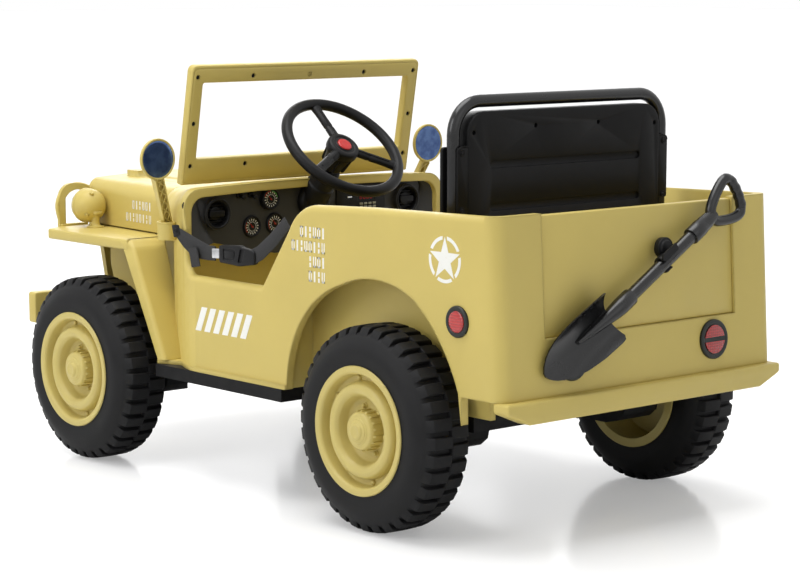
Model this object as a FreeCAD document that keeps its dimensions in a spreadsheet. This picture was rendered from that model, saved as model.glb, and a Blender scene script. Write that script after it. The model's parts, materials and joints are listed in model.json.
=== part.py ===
import FreeCAD, Part
import math
import os

import Sketcher
from FreeCAD import Placement, Rotation, Vector

# A child's ride-on army 4x4 car, in millimetres.
# +X points forward, +Y to the car's left and +Z up. The origin is on the floor,
# under the middle of the car's box.
# Names ending in _x, _y or _z are places along those axes; the others are sizes.
SIZES = {
    # Whole car
    "overall_length": 1266,
    "gap": 0.3,
    # Tyres and wheels
    "tyre_radius": 158.6,
    "lug_depth": 9,
    "lug_count": 36,
    "lug_share": 0.56,
    "tread_inner_y": 263,
    "tread_outer_y": 327,
    "rib_width": 2.4,
    "tyre_inner_y": 246,
    "tyre_outer_y": 344,
    "tyre_section": 59.2,
    "rim_lip": 7.4,
    "rim_inner_y": 243,
    "rim_outer_y": 346.5,
    "hub_outer_y": 351,
    "hub_radius": 30,
    "rim_face": 25.4,
    "axle_radius": 6,
    "axle_clearance": 0.3,
    "axle_end_y": 334,
    "hub_inner_y": 262,
    "front_axle_x": 422.8,
    "rear_axle_x": -338.8,
    # Tub
    "half_width": 299,
    "wall": 14,
    "rear_low_x": -603,
    "rear_low_z": 237,
    "rear_top_x": -587,
    "rear_top_z": 497,
    "tub_corner": 26,
    "sill_z": 187,
    "sill_top_z": 194,
    "sill_overhang": 4,
    "sill_rear_x": -111,
    "sill_front_x": 235,
    "tail_bottom_z": 229,
    "floor_z": 200,
    "seat_floor_z": 330,
    "bed_floor_z": 400,
    "ledge_rise": 5,
    "sheet": 5,
    "riser_x": -60,
    "seat_back_x": -432,
    "house_inner_y": 240,
    "house_top_z": 388,
    "house_front_x": -105,
    "house_rear_x": -522,
    "door_z": 345,
    "door_rear_x": -46,
    "door_front_x": 140,
    "cowl_rear_x": 171,
    "cowl_bend_x": 192,
    "cowl_front_x": 250,
    "cowl_taper": 52,
    "cowl_top_z": 488,
    "cowl_front_top_z": 482,
    "cowl_corner": 40,
    "cowl_front_corner": 36,
    "nose_knee_x": 286,
    "nose_knee_half": 216,
    "crown": 5,
    "firewall": 8,
    # Bonnet, grille and front fenders
    "bonnet_rear_x": 326,
    "bonnet_rear_half": 212.5,
    "bonnet_rear_corner": 30,
    "bonnet_front_x": 583,
    "bonnet_front_half": 191,
    "bonnet_top_z": 476.5,
    "bonnet_front_corner": 24,
    "bonnet_skin": 5,
    "rest_x": 526,
    "rest_y": 117,
    "rest_length": 34,
    "rest_width": 24,
    "rest_height": 8,
    "bonnet_gap": 2.5,
    "fender_top_z": 389,
    "fender_lip": 18,
    "fender_overhang": 1,
    "fender_front_x": 562,
    "fender_nose_x": 583,
    "fender_nose_bevel": 38,
    "fender_inner_y": 160,
    "fender_bend_x": 311,
    "grille_depth": 11,
    "grille_low_z": 236,
    "grille_low_half": 150,
    "grille_waist_half": 172,
    "slot_count": 6,
    "slot_width": 19,
    "slot_pitch": 38,
    "slot_low_z": 300,
    "slot_high_z": 428,
    "skirt_clearance": 21.2,
    "skirt_flat": 8,
    "skirt_foot": 31,
    "skirt_crease_top_x": 288,
    "skirt_crease_y": 242,
    # Bumpers
    "bumper_depth": 22,
    "bumper_edge": 3,
    "front_bumper_low_z": 213.6,
    "front_bumper_top_z": 269.3,
    "bumper_inset": 1,
    "rear_bumper_x": -617,
    "rear_bumper_low_z": 195,
    "rear_bumper_bevel": 46,
    # Tailgate and lamps
    "tailgate_half": 207.5,
    "tailgate_low_z": 315,
    "tailgate_recess": 4,
    "tail_lamp_y": 155,
    "tail_lamp_z": 279,
    "tail_lamp_radius": 31,
    "lamp_proud": 5,
    "marker_x": -510,
    "marker_z": 339,
    "marker_radius": 23.5,
    "headlamp_x": 549.8,
    "headlamp_y": 225,
    "headlamp_z": 423,
    "headlamp_radius": 30,
    "lamp_post_x": 530.5,
    "lamp_post_radius": 9,
    "guard_inset": 39,
    "guard_top_z": 464,
    "guard_bar": 8,
    # Windscreen frame
    "screen_base_x": 220.4,
    "screen_base_z": 516.7,
    "screen_lean": 10.2,
    "screen_inset": 48,
    "screen_top": 171,
    "screen_low": -62,
    "screen_depth": 16,
    "screen_post": 25,
    "window_top": 141,
    "window_low": 12,
    "screen_corner": 8,
    # Mirrors
    "mirror_x": 223,
    "mirror_overhang": 2,
    "mirror_z": 531.5,
    "mirror_radius": 34.5,
    "mirror_depth": 8,
    "mirror_base_x": 231,
    "mirror_base_inset": 13,
    "mirror_base_radius": 15.5,
    "mirror_base_top_z": 426,
    "mirror_post_width": 13,
    "mirror_bar": 3,
    "mirror_knees": 6,
    # Dashboard and steering
    "dash_rear_x": 188,
    "dash_depth": 12,
    "dash_side_z": 388,
    "dash_middle_z": 362,
    "vent_y": 211.6,
    "vent_z": 438,
    "vent_radius": 27,
    "steer_x": 105.7,
    "steer_z": 543.7,
    "steer_lean": 41.8,
    "steer_radius": 114,
    "steer_bar": 9.5,
    "shaft_radius": 6,
    "crank_radius": 33.1,
    "hub_drop": 46,
    "button_radius": 13,
    "crank_width": 12,
    "slot_clearance": 1.7,
    "steer_turn": 40,
    "eye_radius": 9,
    "eye_half": 5,
    "yoke_low_z": 100,
    "yoke_web_y": 165,
    "bracket_x": 325,
    "bracket_top_z": 318,
    "gear_low_z": 117,
    "gear_top_z": 192,
    "gear_front_x": 398,
    "gear_rear_x": 290,
    "arm_length": 60,
    "kingpin_y": 232,
    "kingpin_radius": 6,
    "sleeve_radius": 13,
    "beam_low_z": 216,
    "beam_high_z": 226,
    "link_z": 206.4,
    "link_radius": 4,
    # Seat
    "seat_half": 208,
    "seat_top_z": 635,
    "wing_half": 228,
    "wing_top_z": 583,
    "wing_low_z": 484,
    "seat_depth": 27,
    "seat_corner": 34,
    "seat_slot_half": 163,
    "seat_slot_width": 12,
    "seat_slot_depth": 4,
    "seat_slot_low_z": 491,
    "seat_slot_high_z": 555,
    "hoop_half": 224.6,
    "hoop_top_z": 649.8,
    "hoop_radius": 9.7,
    "hoop_bend": 50,
    "hoop_x": -417.3,
    "cushion_front_x": -96,
    "cushion_top_z": 352,
    # Chassis and drive
    "tray_low_z": 166,
    "tray_rear_x": -103,
    "tray_front_x": 236,
    "tray_depth": 21,
    "nose_half": 104,
    "nose_depth": 24,
    "tail_half": 150,
    "tail_rear_x": -469,
    "gear_inner_y": 190,
    "gear_outer_y": 238,
    "battery_x": -300,
    "battery_length": 150,
    "battery_width": 100,
    "battery_height": 95,
    # Shovel
    "shovel_slope": 30,
    "shovel_reach": 18.5,
    "shovel_y": 50,
    "shovel_z": 363,
    "shaft_length": 185,
    "handle_radius": 10,
    "collar_radius": 13.5,
    "blade_width": 94,
    "blade_length": 150,
    "blade_dish": 21.23,
    "blade_seat": 8,
    "blade_thick": 4,
    "blade_start": 47,
    "grip_length": 74,
    "grip_width": 84,
    "grip_tube": 9,
    "grip_bend": 13,
    "clip_y": -38.6,
    "clip_z": 427,
    "clip_radius": 17,
    "clip_wall": 4,
    "clip_width": 18,
    # Door strap
    "strap_width": 25,
    "strap_thick": 2,
    "strap_inset": 11,
    "strap_front_z": 411,
    "buckle_x": 18,
    "buckle_z": 387,
    "buckle_length": 76,
    "buckle_depth": 10,
}

doc = FreeCAD.newDocument("ride_on_army_car")
dim = doc.addObject("Spreadsheet::Sheet", "dim")
for row, (alias, size) in enumerate(SIZES.items(), start=1):
    dim.set(f"A{row}", alias)
    dim.set(f"B{row}", str(size))
    dim.setAlias(f"B{row}", alias)
doc.recompute()

NODES = {}


def number(formula):
    """The value of a formula over the sheet's names."""
    return float(dim.evalExpression(str(formula)))


# Widths and places that follow from the sizes.
RIM = "(dim.tyre_radius - dim.tyre_section)"
BEAD = f"({RIM} - dim.rim_lip)"
RING = f"({RIM} - dim.rim_face)"
SILL = "(dim.half_width + dim.sill_overhang)"
FENDER = "(dim.half_width + dim.fender_overhang)"
BUMPER = "(dim.half_width - dim.bumper_inset)"
SCREEN = "(dim.half_width - dim.screen_inset)"
STRAP_Y = "(dim.half_width - dim.strap_inset)"
SKIRT_X = "(dim.front_axle_x - dim.tyre_radius - dim.skirt_clearance)"
SHOVEL_X = "(dim.shovel_reach - dim.overall_length / 2)"
SEAT_FRONT = "(dim.seat_back_x + dim.seat_depth + 4)"


def node(label, thing):
    """Name a finished sub-part, which is written to its own file."""
    thing.Label = label
    NODES[label] = thing
    return thing


def place(thing, x="0", y="0", z="0"):
    """Bind an object's position to three formulas."""
    for axis, formula in zip("xyz", (x, y, z)):
        thing.setExpression(f"Placement.Base.{axis}", formula)
    return thing


def block(name, x, y, z):
    """A box between three (low, high) pairs of formulas."""
    made = doc.addObject("Part::Box", name)
    for side, axis, (low, high) in zip(("Length", "Width", "Height"), "xyz", (x, y, z)):
        made.setExpression(side, f"({high}) - ({low})")
        made.setExpression(f"Placement.Base.{axis}", low)
    return made


def rod(name, radius, length, start, axis=(0, 0, 1)):
    """A round bar from a start point along an axis."""
    made = doc.addObject("Part::Cylinder", name)
    made.setExpression("Radius", radius)
    made.setExpression("Height", length)
    made.Placement = Placement(Vector(), Rotation(Vector(0, 0, 1), Vector(*axis)))
    return place(made, *start)


def ball(name, radius, centre):
    """A sphere about a centre point."""
    made = doc.addObject("Part::Sphere", name)
    made.setExpression("Radius", radius)
    return place(made, *centre)


def join(name, *parts):
    """The union of several objects."""
    made = doc.addObject("Part::MultiFuse", name)
    made.Shapes = list(parts)
    made.Refine = True
    return made


def cut(name, base, *tools):
    """A base less one or more tools."""
    made = doc.addObject("Part::Cut", name)
    made.Base = base
    made.Tool = tools[0] if len(tools) == 1 else join(name + "_tools", *tools)
    return made


def shared(name, first, second):
    """What two objects have in common."""
    made = doc.addObject("Part::Common", name)
    made.Base = first
    made.Tool = second
    return made


def twin(name, source):
    """The mirror image of an object on the car's other side."""
    made = doc.addObject("Part::Mirroring", name)
    made.Source = source
    made.Normal = Vector(0, 1, 0)
    return made


def solid(name, shape):
    """An object that holds a shape made from the sheet's sizes."""
    made = doc.addObject("Part::Feature", name)
    made.Shape = shape
    return made


def outline(body, name, plane, points, offset="0"):
    """A closed sketch of straight runs whose corners are bound to formulas."""
    sketch = body.newObject("Sketcher::SketchObject", name)
    origin = next(f for f in body.Origin.OriginFeatures if f.Role == plane)
    sketch.AttachmentSupport = [(origin, "")]
    sketch.MapMode = "FlatFace"
    sketch.setExpression("AttachmentOffset.Base.z", offset)
    corners = [Vector(number(u), number(v), 0) for u, v in points]
    count = len(corners)
    for i in range(count):
        sketch.addGeometry(Part.LineSegment(corners[i], corners[(i + 1) % count]), False)
    for i in range(count):
        sketch.addConstraint(Sketcher.Constraint("Coincident", i, 2, (i + 1) % count, 1))
    for i, (u, v) in enumerate(points):
        for kind, formula in (("DistanceX", u), ("DistanceY", v)):
            index = sketch.addConstraint(Sketcher.Constraint(kind, i, 1, number(formula)))
            sketch.setExpression(f"Constraints[{index}]", formula)
    return sketch


def pad(name, plane, points, low, high):
    """A body padded from one outline between two places along the plane's normal."""
    body = doc.addObject("PartDesign::Body", name)
    start = f"-({high})" if plane == "XZ_Plane" else low
    sketch = outline(body, name + "_sketch", plane, points, start)
    feature = body.newObject("PartDesign::Pad", name + "_pad")
    feature.Profile = sketch
    feature.setExpression("Length", f"({high}) - ({low})")
    return body


def turned(name, points):
    """A body turned about the Y axis from points of (place along Y, radius)."""
    body = doc.addObject("PartDesign::Body", name)
    sketch = outline(body, name + "_sketch", "YZ_Plane", points)
    feature = body.newObject("PartDesign::Revolution", name + "_turn")
    feature.Profile = sketch
    feature.ReferenceAxis = (sketch, ["H_Axis"])
    feature.Angle = 360
    return body


def both(name, half):
    """The (low, high) pair of a width about the car's middle."""
    return (f"-({half})", f"({half})")


def arc(first, through, last):
    """An arc edge through three points."""
    return Part.Arc(first, through, last).toShape()


def face_of(edges):
    """A flat face inside a closed run of edges."""
    return Part.Face(Part.Wire(edges))


def hoop_wire(x, half, top, corner, low):
    """The arched outline of the cowl or bonnet at x: upright sides and a crowned top."""
    shoulder = top - dim.crown
    lean = corner * math.sqrt(0.5)
    left = [Vector(x, -half, low), Vector(x, -half, shoulder - corner),
            Vector(x, -half + corner - lean, shoulder - corner + lean),
            Vector(x, -half + corner, shoulder)]
    right = [Vector(x, -p.y, p.z) for p in left]
    return Part.Wire([
        Part.makeLine(left[0], left[1]),
        arc(left[1], left[2], left[3]),
        arc(left[3], Vector(x, 0, top), right[3]),
        arc(right[3], right[2], right[1]),
        Part.makeLine(right[1], right[0]),
        Part.makeLine(right[0], left[0]),
    ])


def rear_x(z):
    """The leaning rear face's place at a height."""
    lean = (dim.rear_top_x - dim.rear_low_x) / (dim.rear_top_z - dim.rear_low_z)
    return dim.rear_low_x + (z - dim.rear_low_z) * lean


def plan_wire(z, inset):
    """The tub's outline seen from above, rounded at its rear corners."""
    rear = rear_x(z) + inset
    half = dim.half_width - inset
    round_off = dim.tub_corner - inset * 0.6
    lean = round_off * (1 - math.sqrt(0.5))
    front = dim.cowl_rear_x
    edges = []
    for side in (1, -1):
        edges.append(arc(Vector(rear + round_off, side * half, z),
                         Vector(rear + lean, side * (half - lean), z),
                         Vector(rear, side * (half - round_off), z)))
    edges.append(Part.makeLine(Vector(rear, half - round_off, z), Vector(rear, round_off - half, z)))
    edges.append(Part.makeLine(Vector(rear + round_off, half, z), Vector(front, half, z)))
    edges.append(Part.makeLine(Vector(rear + round_off, -half, z), Vector(front, -half, z)))
    edges.append(Part.makeLine(Vector(front, half, z), Vector(front, -half, z)))
    return Part.Wire(Part.__sortEdges__(edges))


# Tub: one moulding from the cowl to the tail, with door cut-outs, wheel houses and a load bed.
ABOVE = "dim.cowl_top_z + 40"


def tub_envelope(name, inset, low, top):
    """The tub behind the cowl as a solid block, drawn in by an inset."""
    return solid(name, Part.makeLoft([plan_wire(low, inset), plan_wire(top, inset)], True, True))


def cowl_envelope(name, inset, low, front):
    """The tapered cowl as a solid block, drawn in by an inset."""
    slope = dim.cowl_taper / (dim.cowl_front_x - dim.cowl_bend_x)
    rear_half = dim.half_width - inset
    front_half = dim.half_width - slope * (front - dim.cowl_bend_x) - inset
    front_top = dim.cowl_front_top_z - inset
    wires = [
        hoop_wire(dim.cowl_rear_x, rear_half, dim.cowl_top_z - inset, dim.cowl_corner - inset * 0.6, low),
        hoop_wire(dim.cowl_bend_x, rear_half, dim.cowl_top_z - inset, dim.cowl_corner - inset * 0.6, low),
        hoop_wire(front, front_half, front_top, dim.cowl_front_corner - inset * 0.6, low),
    ]
    return solid(name, Part.makeLoft(wires, True, True))


def nose_shape(inset, rear, front):
    """The cowl's narrow nose between the firewall and the bonnet, drawn in by an inset."""
    low = dim.fender_top_z - 2 * inset
    middle = (dim.cowl_front_top_z + dim.bonnet_top_z) / 2
    stations = [
        (rear, dim.half_width - dim.cowl_taper, dim.cowl_front_top_z, dim.cowl_front_corner),
        (dim.nose_knee_x, dim.nose_knee_half, middle, (dim.cowl_front_corner + dim.bonnet_rear_corner) / 2),
        (front, dim.bonnet_rear_half, dim.bonnet_top_z, dim.bonnet_rear_corner),
    ]
    wires = [hoop_wire(x, half - inset, top - inset, corner - inset * 0.6, low)
             for x, half, top, corner in stations]
    return Part.makeLoft(wires, True, True)


def rim_and_door_shape():
    """All that is cut away above the rim and in the door openings, as one prism."""
    top = dim.cowl_top_z + 40
    rim = dim.rear_top_z
    behind = dim.rear_low_x - 20
    floor = dim.door_z
    face = face_of([
        Part.makeLine(Vector(behind, 0, top), Vector(behind, 0, rim)),
        Part.makeLine(Vector(behind, 0, rim), Vector(-316, 0, rim - 7)),
        Part.makeLine(Vector(-316, 0, rim - 7), Vector(-180, 0, rim - 13)),
        arc(Vector(-180, 0, rim - 13), Vector(-139, 0, rim - 27), Vector(-114, 0, rim - 56)),
        Part.makeLine(Vector(-114, 0, rim - 56), Vector(dim.door_rear_x, 0, floor)),
        Part.makeLine(Vector(dim.door_rear_x, 0, floor), Vector(dim.door_front_x, 0, floor)),
        arc(Vector(dim.door_front_x, 0, floor), Vector(dim.cowl_rear_x - 8, 0, floor + 10),
            Vector(dim.cowl_rear_x, 0, floor + 36)),
        Part.makeLine(Vector(dim.cowl_rear_x, 0, floor + 36), Vector(dim.cowl_rear_x, 0, top)),
        Part.makeLine(Vector(dim.cowl_rear_x, 0, top), Vector(behind, 0, top)),
    ])
    reach = dim.half_width + 20
    face.translate(Vector(0, -reach, 0))
    return face.extrude(Vector(0, 2 * reach, 0))


def arch_shape():
    """The wheel opening in the tub's left side, over the rear axle."""
    axle, top = dim.rear_axle_x, dim.house_top_z - 8
    low = dim.sill_z - 10
    start, end = Vector(axle + 226, 0, 207), Vector(axle - 172, 0, 234)
    first, second = Vector(axle + 94, 0, top - 13), Vector(axle - 74, 0, top - 19)
    face = face_of([
        Part.makeLine(Vector(start.x + 3, 0, low), start),
        arc(start, Vector(axle + 184, 0, 309), first),
        arc(first, Vector(axle - 4, 0, top + 2), second),
        arc(second, Vector(axle - 131, 0, 306), end),
        Part.makeLine(end, Vector(end.x - 8, 0, low)),
        Part.makeLine(Vector(end.x - 8, 0, low), Vector(start.x + 3, 0, low)),
    ])
    face.translate(Vector(0, dim.half_width - dim.wall - 1, 0))
    return face.extrude(Vector(0, dim.wall + 20, 0))


def make_tub():
    low, top = dim.sill_z, dim.cowl_top_z + 30
    hull = join("tub_hull", tub_envelope("tub_outer", 0, low, top),
                cowl_envelope("cowl_outer", 0, low, dim.cowl_front_x),
                solid("cowl_nose", nose_shape(0, dim.cowl_front_x, dim.bonnet_rear_x).cut(
                    nose_shape(dim.bonnet_skin, dim.cowl_front_x, dim.bonnet_rear_x))),
                block("sill", ("dim.sill_rear_x", "dim.sill_front_x"),
                      both("", SILL), ("dim.sill_z", "dim.sill_top_z")))
    inner = join("tub_inner", tub_envelope("tub_inside", dim.wall, low - 20, top + 20),
                 cowl_envelope("cowl_inside", dim.wall, low - 20, dim.cowl_front_x - dim.firewall))
    side = "dim.half_width"
    house = "dim.house_inner_y"
    under = "dim.sill_z - 15"
    rear = "dim.rear_low_x"
    kerb = "(dim.rear_top_x + dim.tailgate_recess + dim.wall + 2)"
    rooms = join(
        "rooms",
        block("footwell", ("dim.riser_x", "dim.cowl_front_x"), both("", side), ("dim.floor_z", ABOVE)),
        block("seat_well", (SEAT_FRONT, "dim.riser_x"), both("", f"{house} - dim.sheet"),
              ("dim.seat_floor_z", ABOVE)),
        block("seat_sides", (SEAT_FRONT, "dim.riser_x"), both("", side),
              ("dim.house_top_z + dim.sheet", ABOVE)),
        block("seat_ledge", ("dim.seat_back_x", SEAT_FRONT), both("", side),
              ("dim.bed_floor_z + dim.ledge_rise", ABOVE)),
        block("bed", (kerb, "dim.seat_back_x"), both("", f"{side} - dim.wall - dim.sheet"),
              ("dim.bed_floor_z", ABOVE)),
        block("over_kerb", (rear, "dim.seat_back_x"), both("", side), ("dim.bed_floor_z + dim.sheet", ABOVE)),
        block("under_seat", (f"{SEAT_FRONT} - dim.sheet * 2", "dim.riser_x - dim.sheet * 2"),
              both("", f"{house} - dim.sheet * 2"), (under, "dim.seat_floor_z - dim.sheet")),
        block("under_bed", (rear, f"{SEAT_FRONT} - dim.sheet * 2"), both("", f"{house} - dim.sheet * 2"),
              (under, "dim.bed_floor_z - dim.sheet")),
        block("riser_left", ("dim.house_front_x + dim.sheet", "dim.riser_x - dim.sheet"), (house, side),
              (under, "dim.house_top_z")),
        block("riser_right", ("dim.house_front_x + dim.sheet", "dim.riser_x - dim.sheet"),
              (f"-{side}", f"-{house}"), (under, "dim.house_top_z")),
        block("behind_left", (rear, "dim.house_rear_x - dim.sheet"), (house, side),
              (under, "dim.bed_floor_z - dim.sheet")),
        block("behind_right", (rear, "dim.house_rear_x - dim.sheet"), (f"-{side}", f"-{house}"),
              (under, "dim.bed_floor_z - dim.sheet")),
        block("house_left", ("dim.house_rear_x", "dim.house_front_x"), (house, side),
              (under, "dim.house_top_z")),
        block("house_right", ("dim.house_rear_x", "dim.house_front_x"), (f"-{side}", f"-{house}"),
              (under, "dim.house_top_z")),
    )
    hollow = shared("hollow", inner, rooms)
    arch = solid("arch_left", arch_shape())
    shaft_hole = steering_rod("shaft_hole", "dim.shaft_radius * 2", "40", "330")
    return node("body_tub", cut(
        "body_tub", hull, hollow,
        solid("rim_and_door", rim_and_door_shape()),
        arch, twin("arch_right", arch),
        block("tail_under", ("dim.rear_low_x - 30", "dim.house_rear_x + 4"),
              both("", "dim.half_width + 10"), (under, "dim.tail_bottom_z")),
        pad("tailgate_opening", "XZ_Plane", tailgate_outline("dim.gap", ABOVE),
            "-(dim.tailgate_half + dim.gap)", "dim.tailgate_half + dim.gap"),
        shaft_hole))


# Steering: the shaft leans back from the link to the driver. In its own frame Z runs up
# the shaft, X points forward and up, and the origin is the middle of the steering wheel.
LEAN = math.radians(dim.steer_lean)
UP_SHAFT = (-math.sin(LEAN), 0, math.cos(LEAN))
DOWN_SHAFT = (math.sin(LEAN), 0, -math.cos(LEAN))
STEER_FRAME = Placement(Vector(dim.steer_x, 0, dim.steer_z), Rotation(Vector(0, -1, 0), dim.steer_lean))
LINK_X = "(dim.front_axle_x - dim.arm_length)"
LINK_DOWN = f"(({LINK_X} - dim.steer_x) / sin(dim.steer_lean) + dim.crank_radius / tan(dim.steer_lean))"


def steering_rod(name, radius, low, length):
    """A bar on the shaft's axis from a distance below the steering wheel, running down."""
    start = (f"dim.steer_x + ({low}) * sin(dim.steer_lean)", "0",
             f"dim.steer_z - ({low}) * cos(dim.steer_lean)")
    return rod(name, radius, length, start, DOWN_SHAFT)


def in_steer_frame(name, shape):
    """An object drawn in the steering shaft's own frame."""
    made = solid(name, shape)
    made.Placement = STEER_FRAME
    return made


def make_steering_wheel():
    bar = dim.steer_bar
    ring = dim.steer_radius - bar
    rim = Part.makeTorus(ring, bar)
    hub = Part.makeCone(bar * 1.9, bar * 3, dim.hub_drop, Vector(0, 0, -dim.hub_drop))
    cap = Part.makeCylinder(bar * 3, bar * 0.8)
    spokes = []
    for angle in (0, 120, 240):
        spoke = Part.makeBox(ring - bar, bar * 2, bar, Vector(bar, -bar, -bar * 0.7))
        spoke.rotate(Vector(), Vector(0, 0, 1), angle)
        spokes.append(spoke)
    socket = Part.makeCylinder(dim.shaft_radius + dim.gap, dim.hub_drop - bar, Vector(0, 0, -dim.hub_drop))
    button = Part.makeCylinder(dim.button_radius + dim.gap, bar, Vector(0, 0, bar * 0.4))
    wheel = rim.multiFuse([hub, cap, *spokes]).cut(socket).cut(button)
    node("steering_wheel", in_steer_frame("steering_wheel", wheel))
    dome = Part.makeCylinder(dim.button_radius, bar * 0.6, Vector(0, 0, bar * 0.4))
    node("horn_button", in_steer_frame("horn_button", dome))


def make_steering_shaft():
    down = number(LINK_DOWN)
    top = dim.steer_bar + dim.gap
    reach, width = dim.crank_radius, dim.crank_width
    above = dim.eye_half + dim.gap * 3
    bar = Part.makeCylinder(dim.shaft_radius, down - top - above, Vector(0, 0, above - down))
    arm = Part.makeBox(reach + width, width, 8, Vector(-reach - width / 2, -width / 2, above - down))
    pin = Part.makeCylinder(dim.link_radius, 2 * dim.eye_half + 13, Vector(-reach, 0, -down - dim.eye_half - 6))
    node("steering_shaft", in_steer_frame("steering_shaft", bar.multiFuse([arm, pin])))


def make_tie_rod():
    down = number(LINK_DOWN)
    reach = dim.crank_radius
    slot_half = dim.link_radius + dim.slot_clearance
    travel = reach * (1 - math.cos(math.radians(dim.steer_turn)))
    wall = dim.link_radius * 1.5
    plate = Part.makeBox(travel + 2 * (slot_half + wall), 2 * (slot_half + 2 * wall), dim.eye_half * 2,
                         Vector(-reach - slot_half - wall, -slot_half - 2 * wall, -down - dim.eye_half))
    slot = Part.makeBox(travel + 2 * slot_half, 2 * slot_half, 60,
                        Vector(-reach - slot_half, -slot_half, -down - 30))
    parts, holes = [in_steer_frame("slot_plate", plate)], [in_steer_frame("slot", slot)]
    parts.append(rod("tie_bar", "dim.link_radius", "2 * (dim.kingpin_y - dim.eye_radius * 0.6)",
                     (LINK_X, "-(dim.kingpin_y - dim.eye_radius * 0.6)", "dim.link_z"), (0, 1, 0)))
    for side in (1, -1):
        where = (LINK_X, f"{side} * dim.kingpin_y", "dim.link_z - dim.eye_half")
        parts.append(rod(f"eye_{side}", "dim.eye_radius", "2 * dim.eye_half", where))
        holes.append(rod(f"eye_hole_{side}", "dim.link_radius + dim.gap", "2 * dim.eye_half", where))
    node("tie_rod", cut("tie_rod", join("tie_rod_body", *parts), *holes))


def make_front_axle():
    axle = "dim.front_axle_x"
    thin = ("dim.front_axle_x - 8", "dim.front_axle_x + 8")
    wide = ("dim.front_axle_x - dim.sleeve_radius", "dim.front_axle_x + dim.sleeve_radius")
    reach = both("", "dim.kingpin_y + dim.sleeve_radius")
    parts = [
        block("beam_top", wide, reach, ("dim.beam_low_z", "dim.beam_high_z")),
        block("beam_pad", wide, both("", "dim.nose_half - 24"),
              ("dim.tray_low_z + dim.nose_depth", "dim.beam_low_z")),
    ]
    low = "dim.yoke_low_z"
    for side in (1, -1):
        web = sorted_pair(side, "dim.nose_half + 6", "dim.yoke_web_y")
        foot = sorted_pair(side, "dim.nose_half + 6", "dim.kingpin_y + dim.sleeve_radius")
        parts.append(block(f"web_{side}", thin, web, (low, "dim.beam_low_z")))
        parts.append(block(f"foot_{side}", wide, foot, (low, f"{low} + 10")))
        parts.append(rod(f"kingpin_{side}", "dim.kingpin_radius", f"dim.beam_high_z - ({low}) + 3",
                         (axle, f"{side} * dim.kingpin_y", low)))
    node("front_axle_beam", join("front_axle_beam", *parts))


def sorted_pair(side, near, far):
    """The (low, high) pair between two distances from the car's middle on one side."""
    return (near, far) if side > 0 else (f"-({far})", f"-({near})")


def make_knuckle():
    low = "dim.yoke_low_z + 10 + dim.gap"
    tall = f"dim.beam_low_z - dim.gap - ({low})"
    king = ("dim.front_axle_x", "dim.kingpin_y")
    arm_top = "dim.link_z - dim.eye_half - dim.gap"
    body = join(
        "knuckle_body",
        rod("sleeve", "dim.sleeve_radius", tall, (*king, low)),
        rod("stub", "dim.axle_radius", "dim.axle_end_y - dim.kingpin_y",
            (*king, "dim.tyre_radius"), (0, 1, 0)),
        rod("stub_boss", "dim.axle_radius + 9", "dim.hub_inner_y - dim.gap - dim.kingpin_y",
            (*king, "dim.tyre_radius"), (0, 1, 0)),
        block("arm", (f"{LINK_X} - 7", "dim.front_axle_x"), ("dim.kingpin_y - 7", "dim.kingpin_y + 7"),
              (f"{arm_top} - 6", arm_top)),
        rod("arm_pin", "dim.link_radius", "dim.eye_half * 2 + 8",
            (LINK_X, "dim.kingpin_y", f"{arm_top} - 4")),
        block("gear_plate", ("dim.gear_front_x", "dim.front_axle_x - 8"),
              ("dim.kingpin_y - 14", "dim.kingpin_y + 5"), ("dim.gear_low_z + 10", "dim.gear_top_z - 4")),
    )
    bore = rod("king_bore", "dim.kingpin_radius + dim.gap", tall, (*king, low))
    left = node("knuckle_left", cut("knuckle_left", body, bore))
    node("knuckle_right", twin("knuckle_right", left))


def gear_outline(front, rear):
    """The side view of a gear housing, from its round drive end back to its motor."""
    low, top = "dim.gear_low_z", "dim.gear_top_z"
    middle = f"(({low}) + ({top})) / 2"
    return [(front, low), (front, top), (f"({rear}) + 50", top), (f"({rear}) + 22", f"{top} - 8"),
            (f"({rear}) + 5", f"{top} - 24"), (rear, middle), (f"({rear}) + 5", f"{low} + 18"),
            (f"({rear}) + 20", f"{low} + 6"), (f"({rear}) + 45", low)]


def make_gear_housings():
    front = pad("gear_housing_front_left", "XZ_Plane", gear_outline("dim.gear_front_x", "dim.gear_rear_x"),
                "dim.gear_inner_y", "dim.gear_outer_y")
    node("gear_housing_front_left", front)
    node("gear_housing_front_right", twin("gear_housing_front_right", front))
    case = pad("gear_case_rear", "XZ_Plane",
               gear_outline("dim.rear_axle_x + 40", "dim.rear_axle_x - 84"),
               "dim.tail_half", "dim.house_inner_y - dim.sheet * 2 - 2")
    boss = rod("gear_boss", "dim.axle_radius + 9", "dim.hub_inner_y - dim.gap - dim.tail_half - 10",
               ("dim.rear_axle_x", "dim.tail_half + 10", "dim.tyre_radius"), (0, 1, 0))
    bore = rod("gear_bore", "dim.axle_radius + dim.gap", "200",
               ("dim.rear_axle_x", "dim.tail_half - 20", "dim.tyre_radius"), (0, 1, 0))
    rear = node("gear_housing_rear_left", cut("gear_housing_rear_left", join("gear_body", case, boss), bore))
    node("gear_housing_rear_right", twin("gear_housing_rear_right", rear))
    node("rear_axle", rod("rear_axle", "dim.axle_radius", "2 * dim.axle_end_y",
                          ("dim.rear_axle_x", "-dim.axle_end_y", "dim.tyre_radius"), (0, 1, 0)))


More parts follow.
